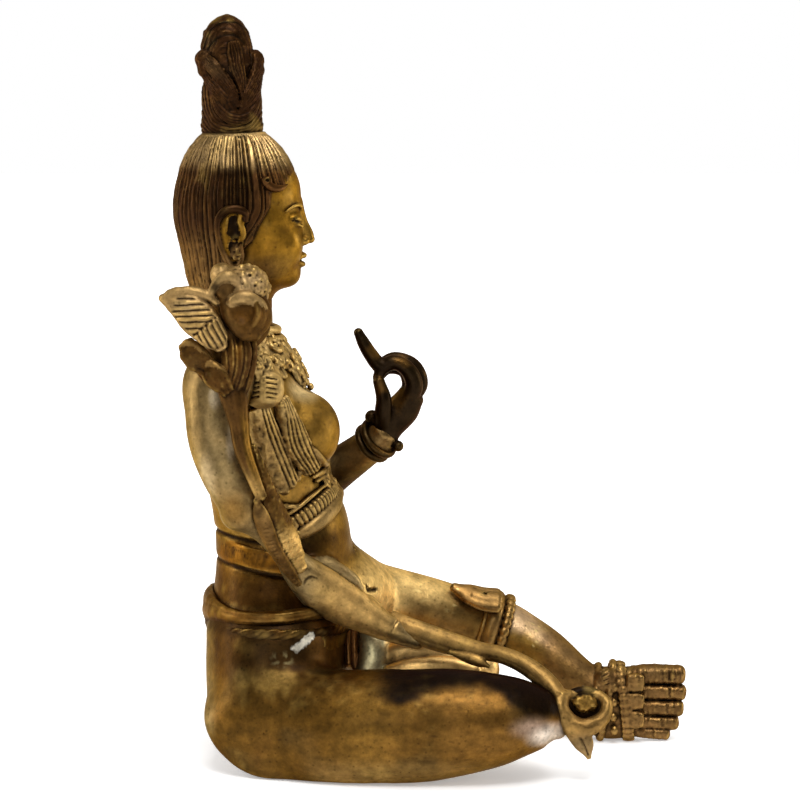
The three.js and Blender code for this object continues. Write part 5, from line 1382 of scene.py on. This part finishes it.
def paint(f, P, N, tag):
    h = f.h
    fine = np.zeros(len(P), np.float32)
    r = max(0.8, 1.6 * h)
    for u in CORNERS:
        fine += sample(f.D, f.lo, h, P + u * r, 6)
    fine /= len(CORNERS) * r
    wide = np.zeros(len(P), np.float32)
    for u in AXES:
        wide += sample(f.D, f.lo, h, P + u * 3.0, 6)
    wide /= len(AXES) * 3.0
    near = np.full(len(P), 3.0, np.float32)
    for o in fields:
        if o is f or {o.name, f.name} in JOINED:
            continue
        lo, hi = o.lo, o.lo + (np.array(o.D.shape) - 1) * o.h
        m = ((P > lo) & (P < hi)).all(1)
        if m.any():
            near[m] = np.minimum(near[m], np.maximum(sample(o.D, o.lo, o.h, P[m], 3), 0))
    look = {**BASE, **STYLE.get(f.style, {})}
    C = np.stack([lin(look[i]) for i in range(10)])[tag]
    x, y, z = P[:, 0], P[:, 1], P[:, 2]

    def mix(target, w):
        w = np.clip(w, 0, 1)[:, None]
        C[:] = C * (1 - w) + target * w
    # broad change of tone over the casting, with painted light and shade where noted
    if f.name == "head":
        mix(lin("6A4522"), 0.5 * (tag == HAIR) * smooth(x, -8, 2) * smooth(z, 170, 180))
        # painted highlight: the top of the hair, lit from above
        lit = smooth(z, 190, 197) * (tag == HAIR)
        mix(lin("C4A26C"), 0.9 * lit * (0.40 + 0.60 * smooth(x, -20, -12)))
        mix(lin("7C5A30"), 0.65 * (tag == HAIR) * (1 - smooth(z, 160, 176)))
        # painted shade under the jaw and down the neck
        mix(lin("4A2E10"), 0.4 * (tag == SKIN) * (1 - smooth(z, 158, 166)))
        mix(lin("4A2E10"), 0.7 * (tag == SKIN) * (1 - smooth(x, -1, 5)) * (1 - smooth(z, 160, 168)))
    if f.name == "hips_and_right_leg":
        bare = tag == SKIN
        mix(lin("583D18"), 0.88 * smooth(x, 22, 50) * bare)
        mix(lin("4E3410"), 0.85 * (1 - smooth(x, 14, 44)) * bare)
        mix(lin("6F4D1F"), 0.6 * smooth(x, 52, 66) * bare)
        mix(lin("55390F"), 0.35 * bare * smooth(x, 10, 20) * (1 - smooth(x, 44, 60)) * smooth(z, 8, 14))
        mix(lin("8E7040"), 0.7 * bare * (1 - smooth(z, 3, 11)) * smooth(x, 10, 24))
        # painted reflection: a pale rim along the back of the hip
        mix(lin("8C7850"), 0.6 * bare * (1 - smooth(x, -20, -15)) * smooth(z, 8, 16))
        # painted shadow across the folded leg's top, cast by the hand and stem above
        zb = np.interp(x, SHADOW_EDGE[:, 0], SHADOW_EDGE[:, 2])
        painted_shadow = smooth(z - zb + 0.8 * noise(P + 77, 3.0), -2.0, 2.2) * smooth(x, SHADOW_EDGE[0, 0] - 5, SHADOW_EDGE[0, 0] + 9) * bare * (y < -20)
        mix(lin("120904"), 0.97 * painted_shadow)
        # painted shade on the recessed hip wall below the girdle
        mix(lin("3A2209"), 0.8 * smooth(z, 29.5, 33) * (1 - smooth(x, 26, 34)) * smooth(x, -24, -10) * bare * (y < -12))
        mix(lin("1A0F05"), 0.85 * smooth(z, 34, 38) * (1 - smooth(x, 26, 34)) * smooth(x, -12, 2) * bare * (y < -12))
        # painted reflection: a pale sheen on the knee's tip
        mix(lin("9C8574"), 0.75 * blob(P, q(529, 725, -50), (9.0, 18.0, 5.0), 0.9))
        mix(lin("D2C4B4"), 0.95 * blob(P, q(546, 733, -46), (9.5, 18.0, 5.4), 0.85))
    if f.name == "trunk":
        bare = (tag == SKIN) | (tag == BAND) | (tag == THIGH)
        # painted shade on the lower trunk, under the arm and hand
        mix(lin("4C2F0B"), 0.88 * bare * (1 - smooth(z, 60, 86)) * (1 - smooth(x, 20, 27)))
        mix(lin("7A4F12"), 0.7 * (tag == BAND))
        # painted shade along the creases of the waist band
        line = np.exp(-((band_z(P) - 4.9) / 0.9) ** 2) + 0.7 * np.exp(-((band_z(P) + 4.4) / 0.7) ** 2)
        mix(DEEP, 0.9 * bare * np.clip(line, 0, 1) * (1 - smooth(x, 7, 13)))
        mix(lin("7E5C20"), 0.7 * bare * smooth(z, 88, 96) * (1 - smooth(z, 122, 130)))
        mix(lin("A27F43"), 0.5 * bare * smooth(z, 118, 126) * smooth(x, 2, 10))
        # painted light on the top of the stretched thigh
        mix(lin("EBC57C"), 0.95 * bare * smooth(x, 25, 36) * (1 - smooth(z, 70, 78)))
        mix(lin("9C7838"), 0.75 * bare * smooth(x, 52, 66))
        # painted shade on the thigh's underside
        mix(lin("5E4018"), 0.8 * bare * smooth(x, 36, 50) * (1 - smooth(z - np.interp(x, [40, 60, 80], [51, 46, 40]), -3, 5)))
        # painted shadow in the hollow under the roll at the belly
        mix(lin("160B04"), 0.92 * blob(P, q(309, 551, -22), (6.0, 14.0, 5.0), 0.8))
        mix(lin("2A1806"), 0.75 * blob(P, q(324, 540, -16), (7.0, 16.0, 4.2), 0.9) * bare)
        # painted shade low on the waist and belly, under the elbow and the roll
        mix(lin("38220A"), 0.75 * bare * (1 - smooth(z, 58, 64)) * (1 - smooth(x, 8, 16)) * smooth(x, -16, -10))
        mix(lin("482F0C"), 0.75 * bare * smooth(x, 12, 20) * (1 - smooth(x, 27, 31)) * smooth(z, 62, 68) * (1 - smooth(z, 74, 80)))
        # painted highlight on the breast
        mix(lin("FFE2A6"), 0.9 * bare * blob(P, q(307, 387, -18), (8.5, 15, 6.0), 0.9))
        # painted shadow in the slot where the thumb meets the thigh
        for c in SLOT:
            mix(lin("120904"), 0.9 * blob(P, c, (2.0, 2.6, 0.95), 0.5))
        mix(lin("7C6238"), 0.7 * (tag == ARM) * (1 - smooth(x, -21, -15)) * smooth(z, 100, 110))
        armc = tag == ARM
        # painted highlight: a pale strip down the arm beside the stem
        mix(lin("D8C6A4"), 0.75 * armc * blob(P, q(215, 397, -54), (2.6, 9.0, 5.0), 0.8))
        mix(lin("D8C6A4"), 0.65 * armc * blob(P, q(231, 440, -58), (2.0, 7.0, 8.5), 0.8))
        mix(lin("6A4A1A"), 0.8 * armc * blob(P, q(235, 510, -58), (9.0, 10.0, 9.0), 0.8))
        mix(lin("33200B"), 0.85 * armc * blob(P, q(266, 496, -56), (2.8, 9.0, 5.0), 0.6))
        mix(lin("38240F"), 0.8 * armc * blob(P, q(258, 504, -58), (3.0, 9.0, 4.0), 0.6))
        # painted reflection: a pale rim on the back of the arm
        mix(lin("BDA57C"), 0.55 * armc * blob(P, q(208, 478, -54), (4.5, 10.0, 11.0), 0.8))
    if f.name == "right_hand":
        # painted light along the hand
        mix(lin("C49B58"), 0.75 * (tag == ARM) * smooth(x, 12, 20) * (1 - smooth(x, 36, 46)))
    if f.name == "girdle":
        mix(lin("553917"), 0.5 + 0 * x)
        mix(lin("3A260E"), 0.6 * (1 - smooth(z, 46.2, 47.6)))
    if f.name == "left_lower_leg":
        # painted highlight on the top of the shin
        mix(lin("D0AE86"), 0.85 * (1 - 0.85 * smooth(x, 86, 96)) * (tag == SKIN) * smooth(z - np.interp(x, [74, 84, 100, 110], [37, 35.5, 25, 18]), -1.0, 3.0) * (1 - smooth(x, 100, 108)))
        mix(lin("6E5030"), 0.6 * (tag == SKIN) * smooth(x, 86, 93))
        mix(lin("6B4E2C"), 0.8 * smooth(x, 101, 108))
        mix(lin("8C6A3C"), 0.6 * (tag == ORN))
    if f.name == "stem_and_loop":
        plain = tag == STEM
        mix(lin("43290F"), 0.92 * smooth(z, 96, 104) * plain)
        mix(lin("8A6426"), 0.7 * smooth(z, 94, 104) * (1 - smooth(z, 112, 122)) * plain * smooth(x - np.interp(-z, [-135, -118, -104, -94], [-9.0, -7.4, -5.2, -1.6]), 0.3, 1.6))
        mix(lin("9A7038"), 0.7 * plain * blob(P, q(284, 565, -48), (4.0, 9.0, 4.5), 0.8))
        mix(lin("5A4020"), 0.55 * plain * smooth(x, 96, 100) * (1 - smooth(z, 20, 26)))
        mix(lin("5E4222"), 0.8 * plain * smooth(z, 58, 66) * (1 - smooth(z, 84, 92)))
        mix(lin("38240F"), 0.85 * blob(P, q(257, 506, -61), (3.8, 9.0, 5.0), 0.6))
        mix(lin("33200B"), 0.85 * blob(P, q(266, 497, -59), (2.8, 9.0, 4.6), 0.6))
        mix(lin("3A240C"), 0.85 * (tag == ORN) * smooth(z, 74, 84))
        mix(lin("E6BC70"), 0.9 * (tag == ORN) * smooth(z, 58, 64) * (1 - smooth(z, 76, 84)))
        mix(lin("86704E"), 0.6 * (1 - smooth(z, 12, 18)))
    if f.name == "necklace_and_sashes":
        mix(lin("AC8E58"), 0.5 * smooth(z, 117, 124))
        mix(lin("6E5026"), 0.5 * (1 - smooth(z, 84, 96)))
        mix(lin("6E4E24"), 0.5 * smooth(z, 84, 92) * (1 - smooth(z, 112, 117)))
    if f.name == "lotus":
        mix(lin("6A4412"), 0.5 * (tag == STEM) * blob(P, q(246, 311, -64), (6, 9, 5), 0.9))
        mix(lin("7E6238"), 0.6 * (tag == PALE) * (1 - smooth(x, -34, -29)))
        mix(lin("C4A678"), 0.55 * (tag == PALE) * blob(P, q(190, 306, -64), (7, 9, 4), 0.9))
        mix(lin("B59A70"), 0.5 * (tag == PALE) * blob(P, q(250, 282, -62), (7, 9, 5), 0.9))
        mix(lin("462C10"), 0.5 * (tag == STEM) * (1 - smooth(z, 128, 136)))
        mix(lin("6A4412"), 0.5 * (tag == STEM) * blob(P, q(240, 352, -64), (3, 9, 5), 0.9))
        mix(lin("3A2410"), 0.7 * (tag == STEM) * smooth(x - np.interp(z, [118, 130, 138], [-10.5, -8, -6.5]), -0.5, 2.0) * (1 - smooth(z, 138, 142)))
    n1, n2, n3 = noise(P, 17.0), noise(P + 40, 6.5), noise(P + 90, 2.3)
    C *= (1 + 0.30 * np.clip(0.7 * n1 + 0.5 * n2, -1, 1) + 0.12 * n3)[:, None]
    mix(BROWN, 0.30 * smooth(0.6 * n2 + 0.5 * n3, 0.1, 0.8))
    mix(GOLD, 0.20 * smooth(-0.6 * n1 - 0.4 * n2 + 0.35 * n3, 0.15, 0.8))
    mix(GREEN, 0.10 * smooth(noise(P + 200, 9.0), 0.2, 0.8) * (tag != THIGH))
    if f.name == "hips_and_right_leg":
        C *= (1 + 0.20 * noise(P * np.array([0.35, 1, 1.7], np.float32), 3.2) + 0.12 * noise(P * np.array([0.4, 1, 1.5], np.float32), 1.4))[:, None]
    # painted shade: the far arm, turned from the light, is made nearly black
    if f.style == "far":
        mix(lin("1E1208"), 0.85 + 0 * x)
    if f.name == "trunk":
        # painted shade on the far forearm, with a lighter brown behind it
        mix(lin("140A03"), 0.92 * smooth(y, 28, 38) * smooth(z, 58, 66) * smooth(x, -6, 4))
        mix(lin("5A421F"), 0.5 * smooth(y, 28, 38) * smooth(z, 58, 66) * (1 - smooth(x, -6, 4)))
    # dark in the small hollows, partly patina and partly painted shade; painted shade in broad recesses and where
    # another piece comes close; wear on the edges
    hollow = smooth(-fine, 0.02, 0.22)
    edge = smooth(fine, 0.05, 0.30)
    deep = smooth(-wide, 0.05, 0.30)
    mix(DEEP, 0.88 * hollow)
    mix(DEEP, 0.55 * deep)
    mix(np.where((tag == HAIR)[:, None], lin("7A5A2C"), GOLD), (0.38 - 0.20 * (tag == HAIR)) * edge * (1 - 0.6 * (tag == DARK)))
    mix(DEEP, 0.75 * (1 - smooth(near, 0.05, 1.1)))
    if f.name == "hips_and_right_leg":
        # painted light on the forms seen between the legs
        seen = smooth(x, 28, 31) * (0.25 + 0.75 * (1 - hollow)) * (0.45 + 0.55 * (1 - deep))
        mix(lin("D0C496"), 1.0 * (tag == GREY) * seen * (1 - smooth(x, 36.5, 38.5)))
        mix(lin("DDB470"), 0.95 * (tag != ORN) * smooth(x, 36.5, 38.5) * (1 - smooth(x, 72, 80)) * smooth(y, -20.5, -17.5) * seen)
    # specks, and gold rubbed bare over the knee
    mix(DEEP, 0.40 * smooth(noise(P + 300, 0.9), 0.66, 0.86))
    if f.name in ("trunk", "left_lower_leg"):
        rub = smooth(noise(P + 600, 0.9) + 0.6 * noise(P + 640, 3.0), 0.55, 0.95)
        for u, v, r in [(524, 620, 3.0), (516, 616, 2.4), (538, 630, 3.8), (532, 640, 2.6), (552, 645, 2.4), (455, 600, 6), (425, 590, 6), (400, 580, 6), (376, 570, 5)]:
            mix(lin("F0D58A"), 0.9 * rub * blob(P, q(u, v, 19), (r, 9.0, r), 0.6))
    if f.name == "lotus":
        # painted shade in the hollow at the curled petal's root
        mix(lin("1C1006"), 0.9 * blob(P, q(215, 287, -64), (2.4, 9, 2.7), 0.8))
    if f.name == "trunk":
        # painted shadow under the roll at the belly, once more
        mix(lin("1A0E05"), 0.6 * bare * blob(P, q(309, 548, -22), (7.0, 14.0, 5.0), 0.9))
        mix(lin("1F1206"), 0.55 * bare * blob(P, q(326, 536, -15), (7.5, 14.0, 3.6), 0.9))
    if f.name in ("trunk", "right_hand"):
        # painted shade along the wrist creases and the groove by the hand
        groove = np.array(q3([(323, 563, -27.4), (333, 567, -26), (345, 575.5, -24), (358, 587, -21.5)]), dtype=float)
        for line, r in [(groove, 0.8)] + [(c, 0.55) for c in CREASE]:
            for t in np.linspace(0, len(line) - 1.001, 15):
                i = int(t)
                mix(lin("1C1006"), 0.5 * blob(P, line[i] + (t - i) * (line[i + 1] - line[i]), (r, 2.4, r), 0.7))
    if f.name == "hips_and_right_leg":
        # the painted shadow on the leg's top once more
        mix(lin("120904"), 0.75 * painted_shadow)
        # painted shade on the recessed hip wall, lighter towards its front
        wall = smooth(z, 34.0, 36.5) * (1 - smooth(x, 26, 32)) * (y < -12)
        mix(lin("1E1206"), 0.8 * wall * smooth(x, -10, 0) * (1 - smooth(x, 12, 18)))
        mix(lin("3A250D"), 0.5 * wall * smooth(x, -22, -12))
        mix(lin("5E3E18"), 0.6 * wall * smooth(x, 11, 16))
        mix(lin("7A4F2C"), 0.7 * (tag == ORN))
    if f.style == "far":
        # painted shade once more, with painted highlights where the far hand faces up
        mix(lin("120A05"), 0.62 + 0 * x)
        mix(lin("7A5626"), 0.5 * smooth(noise(P + 90, 4.0), 0.1, 0.6) * smooth(N[:, 2], -0.3, 0.6))
    if f.name == "trunk":
        # painted shade on the front of the far forearm
        mix(lin("120A05"), 0.55 * smooth(y, 26, 34) * smooth(z, 60, 68) * smooth(x, 4, 16))
    # old whitish paint below the belt
    if f.name in ("girdle", "hips_and_right_leg"):
        for u, v, r, w in [(310.5, 635.5, 1.7, 1), (307, 638.5, 1.8, 1), (303.5, 641.5, 1.7, 1), (299.5, 643.5, 1.7, 1), (295.5, 645.5, 1.5, 0.9)]:
            mix(lin("E6DFCB"), w * smooth(blob(P, q(u, v, -30), (r, 14.0, r), 0.6) * (1 + 0.5 * noise(P + 500, 0.8)), 0.25, 0.5) * (y < 0))
        flake = smooth(noise(P + 500, 1.1), 0.15, 0.5) * blob(P, q(283, 656, -30), (5.2, 14.0, 3.4), 0.7) * (y < 0)
        mix(lin("A89A6C"), 0.65 * flake)
    dull = np.zeros(len(P))
    if f.name == "lotus":
        dull += 0.5
    if f.name == "chignon":
        dull += 0.25
    if f.name == "hips_and_right_leg":
        dull += 0.8 * painted_shadow
    if f.name == "necklace_and_sashes":
        dull += 0.35
    if f.name == "stem_and_loop":
        dull += 0.3
    form = np.stack([np.clip(0.5 + fine, 0, 1), np.clip(0.5 + wide, 0, 1), 1 - dull, np.ones(len(P))], 1)
    return np.clip(C, 0, 1), form


# ---------------------------------------------------------------- material
def bronze():
    m = bpy.data.materials.new("bronze")
    m.use_nodes = True
    nt = m.node_tree
    nt.nodes.clear()

    def node(kind, **kw):
        n = nt.nodes.new(kind)
        for k, v in kw.items():
            setattr(n, k, v)
        return n

    def link(a, b):
        nt.links.new(a, b)
    out = node("ShaderNodeOutputMaterial")
    bs = node("ShaderNodeBsdfPrincipled")
    link(bs.outputs[0], out.inputs[0])
    co = node("ShaderNodeTexCoord").outputs["Object"]
    tint = node("ShaderNodeVertexColor", layer_name="tint")
    form = node("ShaderNodeVertexColor", layer_name="form")

    def tex(scale, detail=3.0, rough=0.6):
        n = node("ShaderNodeTexNoise")
        n.inputs["Scale"].default_value = scale
        n.inputs["Detail"].default_value = detail
        n.inputs["Roughness"].default_value = rough
        link(co, n.inputs["Vector"])
        return n.outputs["Fac"]

    def ramp(fac, a, b, lo, hi):
        n = node("ShaderNodeMapRange")
        n.inputs["From Min"].default_value, n.inputs["From Max"].default_value = a, b
        n.inputs["To Min"].default_value, n.inputs["To Max"].default_value = lo, hi
        link(fac, n.inputs["Value"])
        return n.outputs["Result"]

    def times(col, fac, amount=1.0):
        n = node("ShaderNodeMix", data_type='RGBA', blend_type='MULTIPLY')
        n.inputs["Factor"].default_value = amount
        link(col, n.inputs["A"])
        c = node("ShaderNodeCombineColor")
        for i in range(3):
            link(fac, c.inputs[i])
        link(c.outputs[0], n.inputs["B"])
        return n.outputs["Result"]
    col = times(tint.outputs["Color"], ramp(tex(260, 4), 0.3, 0.7, 0.64, 1.28))
    col = times(col, ramp(tex(900, 3), 0.3, 0.7, 0.84, 1.12))
    # dark pin pricks
    v = node("ShaderNodeTexVoronoi")
    v.inputs["Scale"].default_value = 420
    link(co, v.inputs["Vector"])
    col = times(col, ramp(v.outputs["Distance"], 0.05, 0.22, 0.55, 1.0))
    link(col, bs.inputs["Base Color"])
    bs.inputs["Metallic"].default_value = METAL
    sep = node("ShaderNodeSeparateColor")
    link(form.outputs["Color"], sep.inputs[0])
    r1 = ramp(tex(120, 4), 0.3, 0.7, ROUGH - 0.07, ROUGH + 0.10)
    r2 = ramp(sep.outputs[0], 0.3, 0.62, 0.22, -0.06)
    r3 = ramp(sep.outputs[2], 0.0, 1.0, 0.26, 0.0)
    ad = node("ShaderNodeMath", operation='ADD')
    link(r1, ad.inputs[0])
    link(r2, ad.inputs[1])
    ae = node("ShaderNodeMath", operation='ADD')
    link(ad.outputs[0], ae.inputs[0])
    link(r3, ae.inputs[1])
    link(ae.outputs[0], bs.inputs["Roughness"])
    bs.inputs["Specular IOR Level"].default_value = 0.3
    bs.inputs["Specular Tint"].default_value = (0.62, 0.48, 0.30, 1)
    bs.inputs["Coat Weight"].default_value = 0.03
    bs.inputs["Coat Roughness"].default_value = 0.3
    # cast grain, soft dents, hairline scratches
    st = node("ShaderNodeMapping")
    st.inputs["Scale"].default_value = (60, 900, 420)
    st.inputs["Rotation"].default_value = (0.5, 0.3, 0.7)
    link(co, st.inputs["Vector"])
    sc = node("ShaderNodeTexNoise")
    sc.inputs["Scale"].default_value = 1.0
    sc.inputs["Detail"].default_value = 2.0
    link(st.outputs[0], sc.inputs["Vector"])

    def total(parts):
        acc = None
        for fac, w in parts:
            n = node("ShaderNodeMath", operation='MULTIPLY')
            link(fac, n.inputs[0])
            n.inputs[1].default_value = w
            if acc is None:
                acc = n.outputs[0]
            else:
                s = node("ShaderNodeMath", operation='ADD')
                link(acc, s.inputs[0])
                link(n.outputs[0], s.inputs[1])
                acc = s.outputs[0]
        return acc
    height = total([(tex(1600, 4, 0.7), 0.35), (tex(420, 3), 0.5), (tex(130, 2), 0.9), (sc.outputs["Fac"], 0.25)])
    bump = node("ShaderNodeBump")
    bump.inputs["Strength"].default_value = 0.55
    bump.inputs["Distance"].default_value = 0.0004
    link(height, bump.inputs["Height"])
    link(bump.outputs[0], bs.inputs["Normal"])
    return m


METAL, ROUGH = 0.93, 0.38
metal = bronze()
total_tris = 0
for f in fields:
    me = mesh_of(f.name, f.V, f.Q)
    ob = bpy.data.objects.new(f.name, me)
    scene.collection.objects.link(ob)
    tris = 2 * len(f.Q)
    if tris > f.tris:
        mod = ob.modifiers.new("fewer", 'DECIMATE')
        mod.ratio = f.tris / tris
        mod.use_collapse_triangulate = True
        bpy.context.view_layer.update()
        small = bpy.data.meshes.new_from_object(ob.evaluated_get(bpy.context.evaluated_depsgraph_get()))
        ob.modifiers.clear()
        ob.data = small
        bpy.data.meshes.remove(me)
        me = small
        me.name = f.name
        bm = bmesh.new()
        bm.from_mesh(me)
        rim = [e for e in bm.edges if len(e.link_faces) == 1]
        if rim:
            lids = bmesh.ops.holes_fill(bm, edges=rim, sides=0)["faces"]
            bmesh.ops.triangulate(bm, faces=lids)
            bm.to_mesh(me)
        bm.free()
    n = len(me.vertices)
    P = np.empty(n * 3, np.float32)
    me.vertices.foreach_get("co", P)
    P = P.reshape(-1, 3)
    P[:, 2] = np.maximum(P[:, 2], 0)
    N = gradient(f.D, f.lo, f.h, P)
    N /= np.maximum(np.sqrt((N * N).sum(1)), 1e-9)[:, None]
    cell = np.clip(np.round((P - N * 0.25 * f.h - f.lo) / f.h).astype(int), 0, np.array(f.G.shape) - 1)
    tag = f.G[cell[:, 0], cell[:, 1], cell[:, 2]]
    C, form = paint(f, P, N, tag)
    me.vertices.foreach_set("co", np.ascontiguousarray(P * 0.001, np.float32).ravel())
    rgba = np.concatenate([C, np.ones((n, 1), np.float32)], 1).astype(np.float32)
    a = me.color_attributes.new(name="tint", type='FLOAT_COLOR', domain='POINT')
    a.data.foreach_set("color", rgba.ravel())
    b = me.color_attributes.new(name="form", type='FLOAT_COLOR', domain='POINT')
    b.data.foreach_set("color", form.astype(np.float32).ravel())
    me.polygons.foreach_set("use_smooth", np.ones(len(me.polygons), bool))
    me.update()
    me.normals_split_custom_set_from_vertices(N.astype(np.float64).tolist())
    me.materials.append(metal)
    count = sum(len(p.vertices) - 2 for p in me.polygons)
    total_tris += count
    print("%-22s %7d triangles" % (f.name, count))
    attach(ob, "root")
    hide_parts("tara_figure")
print("all pieces %d triangles, %.1f s" % (total_tris, time.time() - t_start))

# ------------------------------------------------------- floor, light, camera
me = bpy.data.meshes.new("floor")
me.from_pydata([(-6, -6, 0), (6, -6, 0), (6, 6, 0), (-6, 6, 0)], [], [(0, 1, 2, 3)])
floor = bpy.data.objects.new("floor", me)
scene.collection.objects.link(floor)
fm = bpy.data.materials.new("floor")
fm.use_nodes = True
fb = fm.node_tree.nodes["Principled BSDF"]
fb.inputs["Base Color"].default_value = (0.93, 0.93, 0.93, 1)
fb.inputs["Roughness"].default_value = 0.8
fb.inputs["Specular IOR Level"].default_value = 0.1
ft = fm.node_tree
fc = ft.nodes.new("ShaderNodeTexCoord")
fx_ = ft.nodes.new("ShaderNodeSeparateXYZ")
fr_ = ft.nodes.new("ShaderNodeMapRange")
ft.links.new(fc.outputs["Object"], fx_.inputs[0])
ft.links.new(fx_.outputs["Y"], fr_.inputs["Value"])
fr_.inputs["From Min"].default_value, fr_.inputs["From Max"].default_value = -0.1, 0.7
fr_.inputs["To Min"].default_value, fr_.inputs["To Max"].default_value = 0.25, 1.0
fb.inputs["Emission Color"].default_value = (1, 1, 1, 1)
ft.links.new(fr_.outputs[0], fb.inputs["Emission Strength"])
me.materials.append(fm)

world = bpy.data.worlds.new("studio")
scene.world = world
world.use_nodes = True
wt = world.node_tree
wt.nodes.clear()
wo = wt.nodes.new("ShaderNodeOutputWorld")
wm = wt.nodes.new("ShaderNodeMixShader")
wp = wt.nodes.new("ShaderNodeLightPath")
w1 = wt.nodes.new("ShaderNodeBackground")
w2 = wt.nodes.new("ShaderNodeBackground")
w2.inputs["Color"].default_value = (1, 1, 1, 1)
w2.inputs["Strength"].default_value = 1.0
tc = wt.nodes.new("ShaderNodeTexCoord")
sx = wt.nodes.new("ShaderNodeSeparateXYZ")
wt.links.new(tc.outputs["Generated"], sx.inputs[0])


def wmap(src, a, b, lo, hi):
    n = wt.nodes.new("ShaderNodeMapRange")
    n.inputs["From Min"].default_value, n.inputs["From Max"].default_value = a, b
    n.inputs["To Min"].default_value, n.inputs["To Max"].default_value = lo, hi
    wt.links.new(src, n.inputs["Value"])
    return n.outputs["Result"]


back = wmap(sx.outputs["Y"], -0.5, 0.7, 0.10, 0.85)
up = wmap(sx.outputs["Z"], -0.1, 0.9, 0.8, 1.3)
mu = wt.nodes.new("ShaderNodeMath")
mu.operation = 'MULTIPLY'
wt.links.new(back, mu.inputs[0])
wt.links.new(up, mu.inputs[1])
wt.links.new(mu.outputs[0], w1.inputs["Strength"])
w1.inputs["Color"].default_value = (1, 0.985, 0.96, 1)
wt.links.new(wp.outputs["Is Camera Ray"], wm.inputs[0])
wt.links.new(w1.outputs[0], wm.inputs[1])
wt.links.new(w2.outputs[0], wm.inputs[2])
wt.links.new(wm.outputs[0], wo.inputs[0])


def softbox(name, at, to, sx_, sy_, power, colour=(1, 1, 1)):
    l = bpy.data.lights.new(name, 'AREA')
    l.shape = 'RECTANGLE'
    l.size, l.size_y = sx_, sy_
    l.energy = power
    l.color = colour
    o = bpy.data.objects.new(name, l)
    o.location = at
    o.rotation_euler = (Vector(to) - Vector(at)).to_track_quat('-Z', 'Y').to_euler()
    scene.collection.objects.link(o)
    return o


softbox("key", (0.12, -0.75, 1.15), (0.03, 0, 0.11), 0.6, 0.5, 11)
softbox("rim_left", (-1.0, 0.05, 0.45), (0.0, 0, 0.12), 0.3, 0.9, 6)
softbox("fill", (-0.35, -1.3, 0.5), (0.02, 0, 0.12), 0.35, 0.5, 2.5)
softbox("top", (0.25, -0.15, 1.3), (0.03, 0, 0.1), 0.5, 0.5, 4)
softbox("low_right", (0.9, 0.15, 0.25), (0.12, 0, 0.05), 0.3, 0.35, 2)

cam = bpy.data.cameras.new("camera")
cam.sensor_width = 36
cam.lens = 138.5
cam.clip_end = 20
co_ = bpy.data.objects.new("camera", cam)
co_.location = (CAM[0] / 1000, CAM[1] / 1000, CAM[2] / 1000)
co_.rotation_euler = (math.radians(84), 0, 0)
scene.collection.objects.link(co_)
scene.camera = co_
scene.view_settings.view_transform = 'Standard'
scene.view_settings.look = 'None'
scene.view_settings.exposure = 0.0
scene.view_settings.gamma = 1.0

bpy.context.view_layer.update()
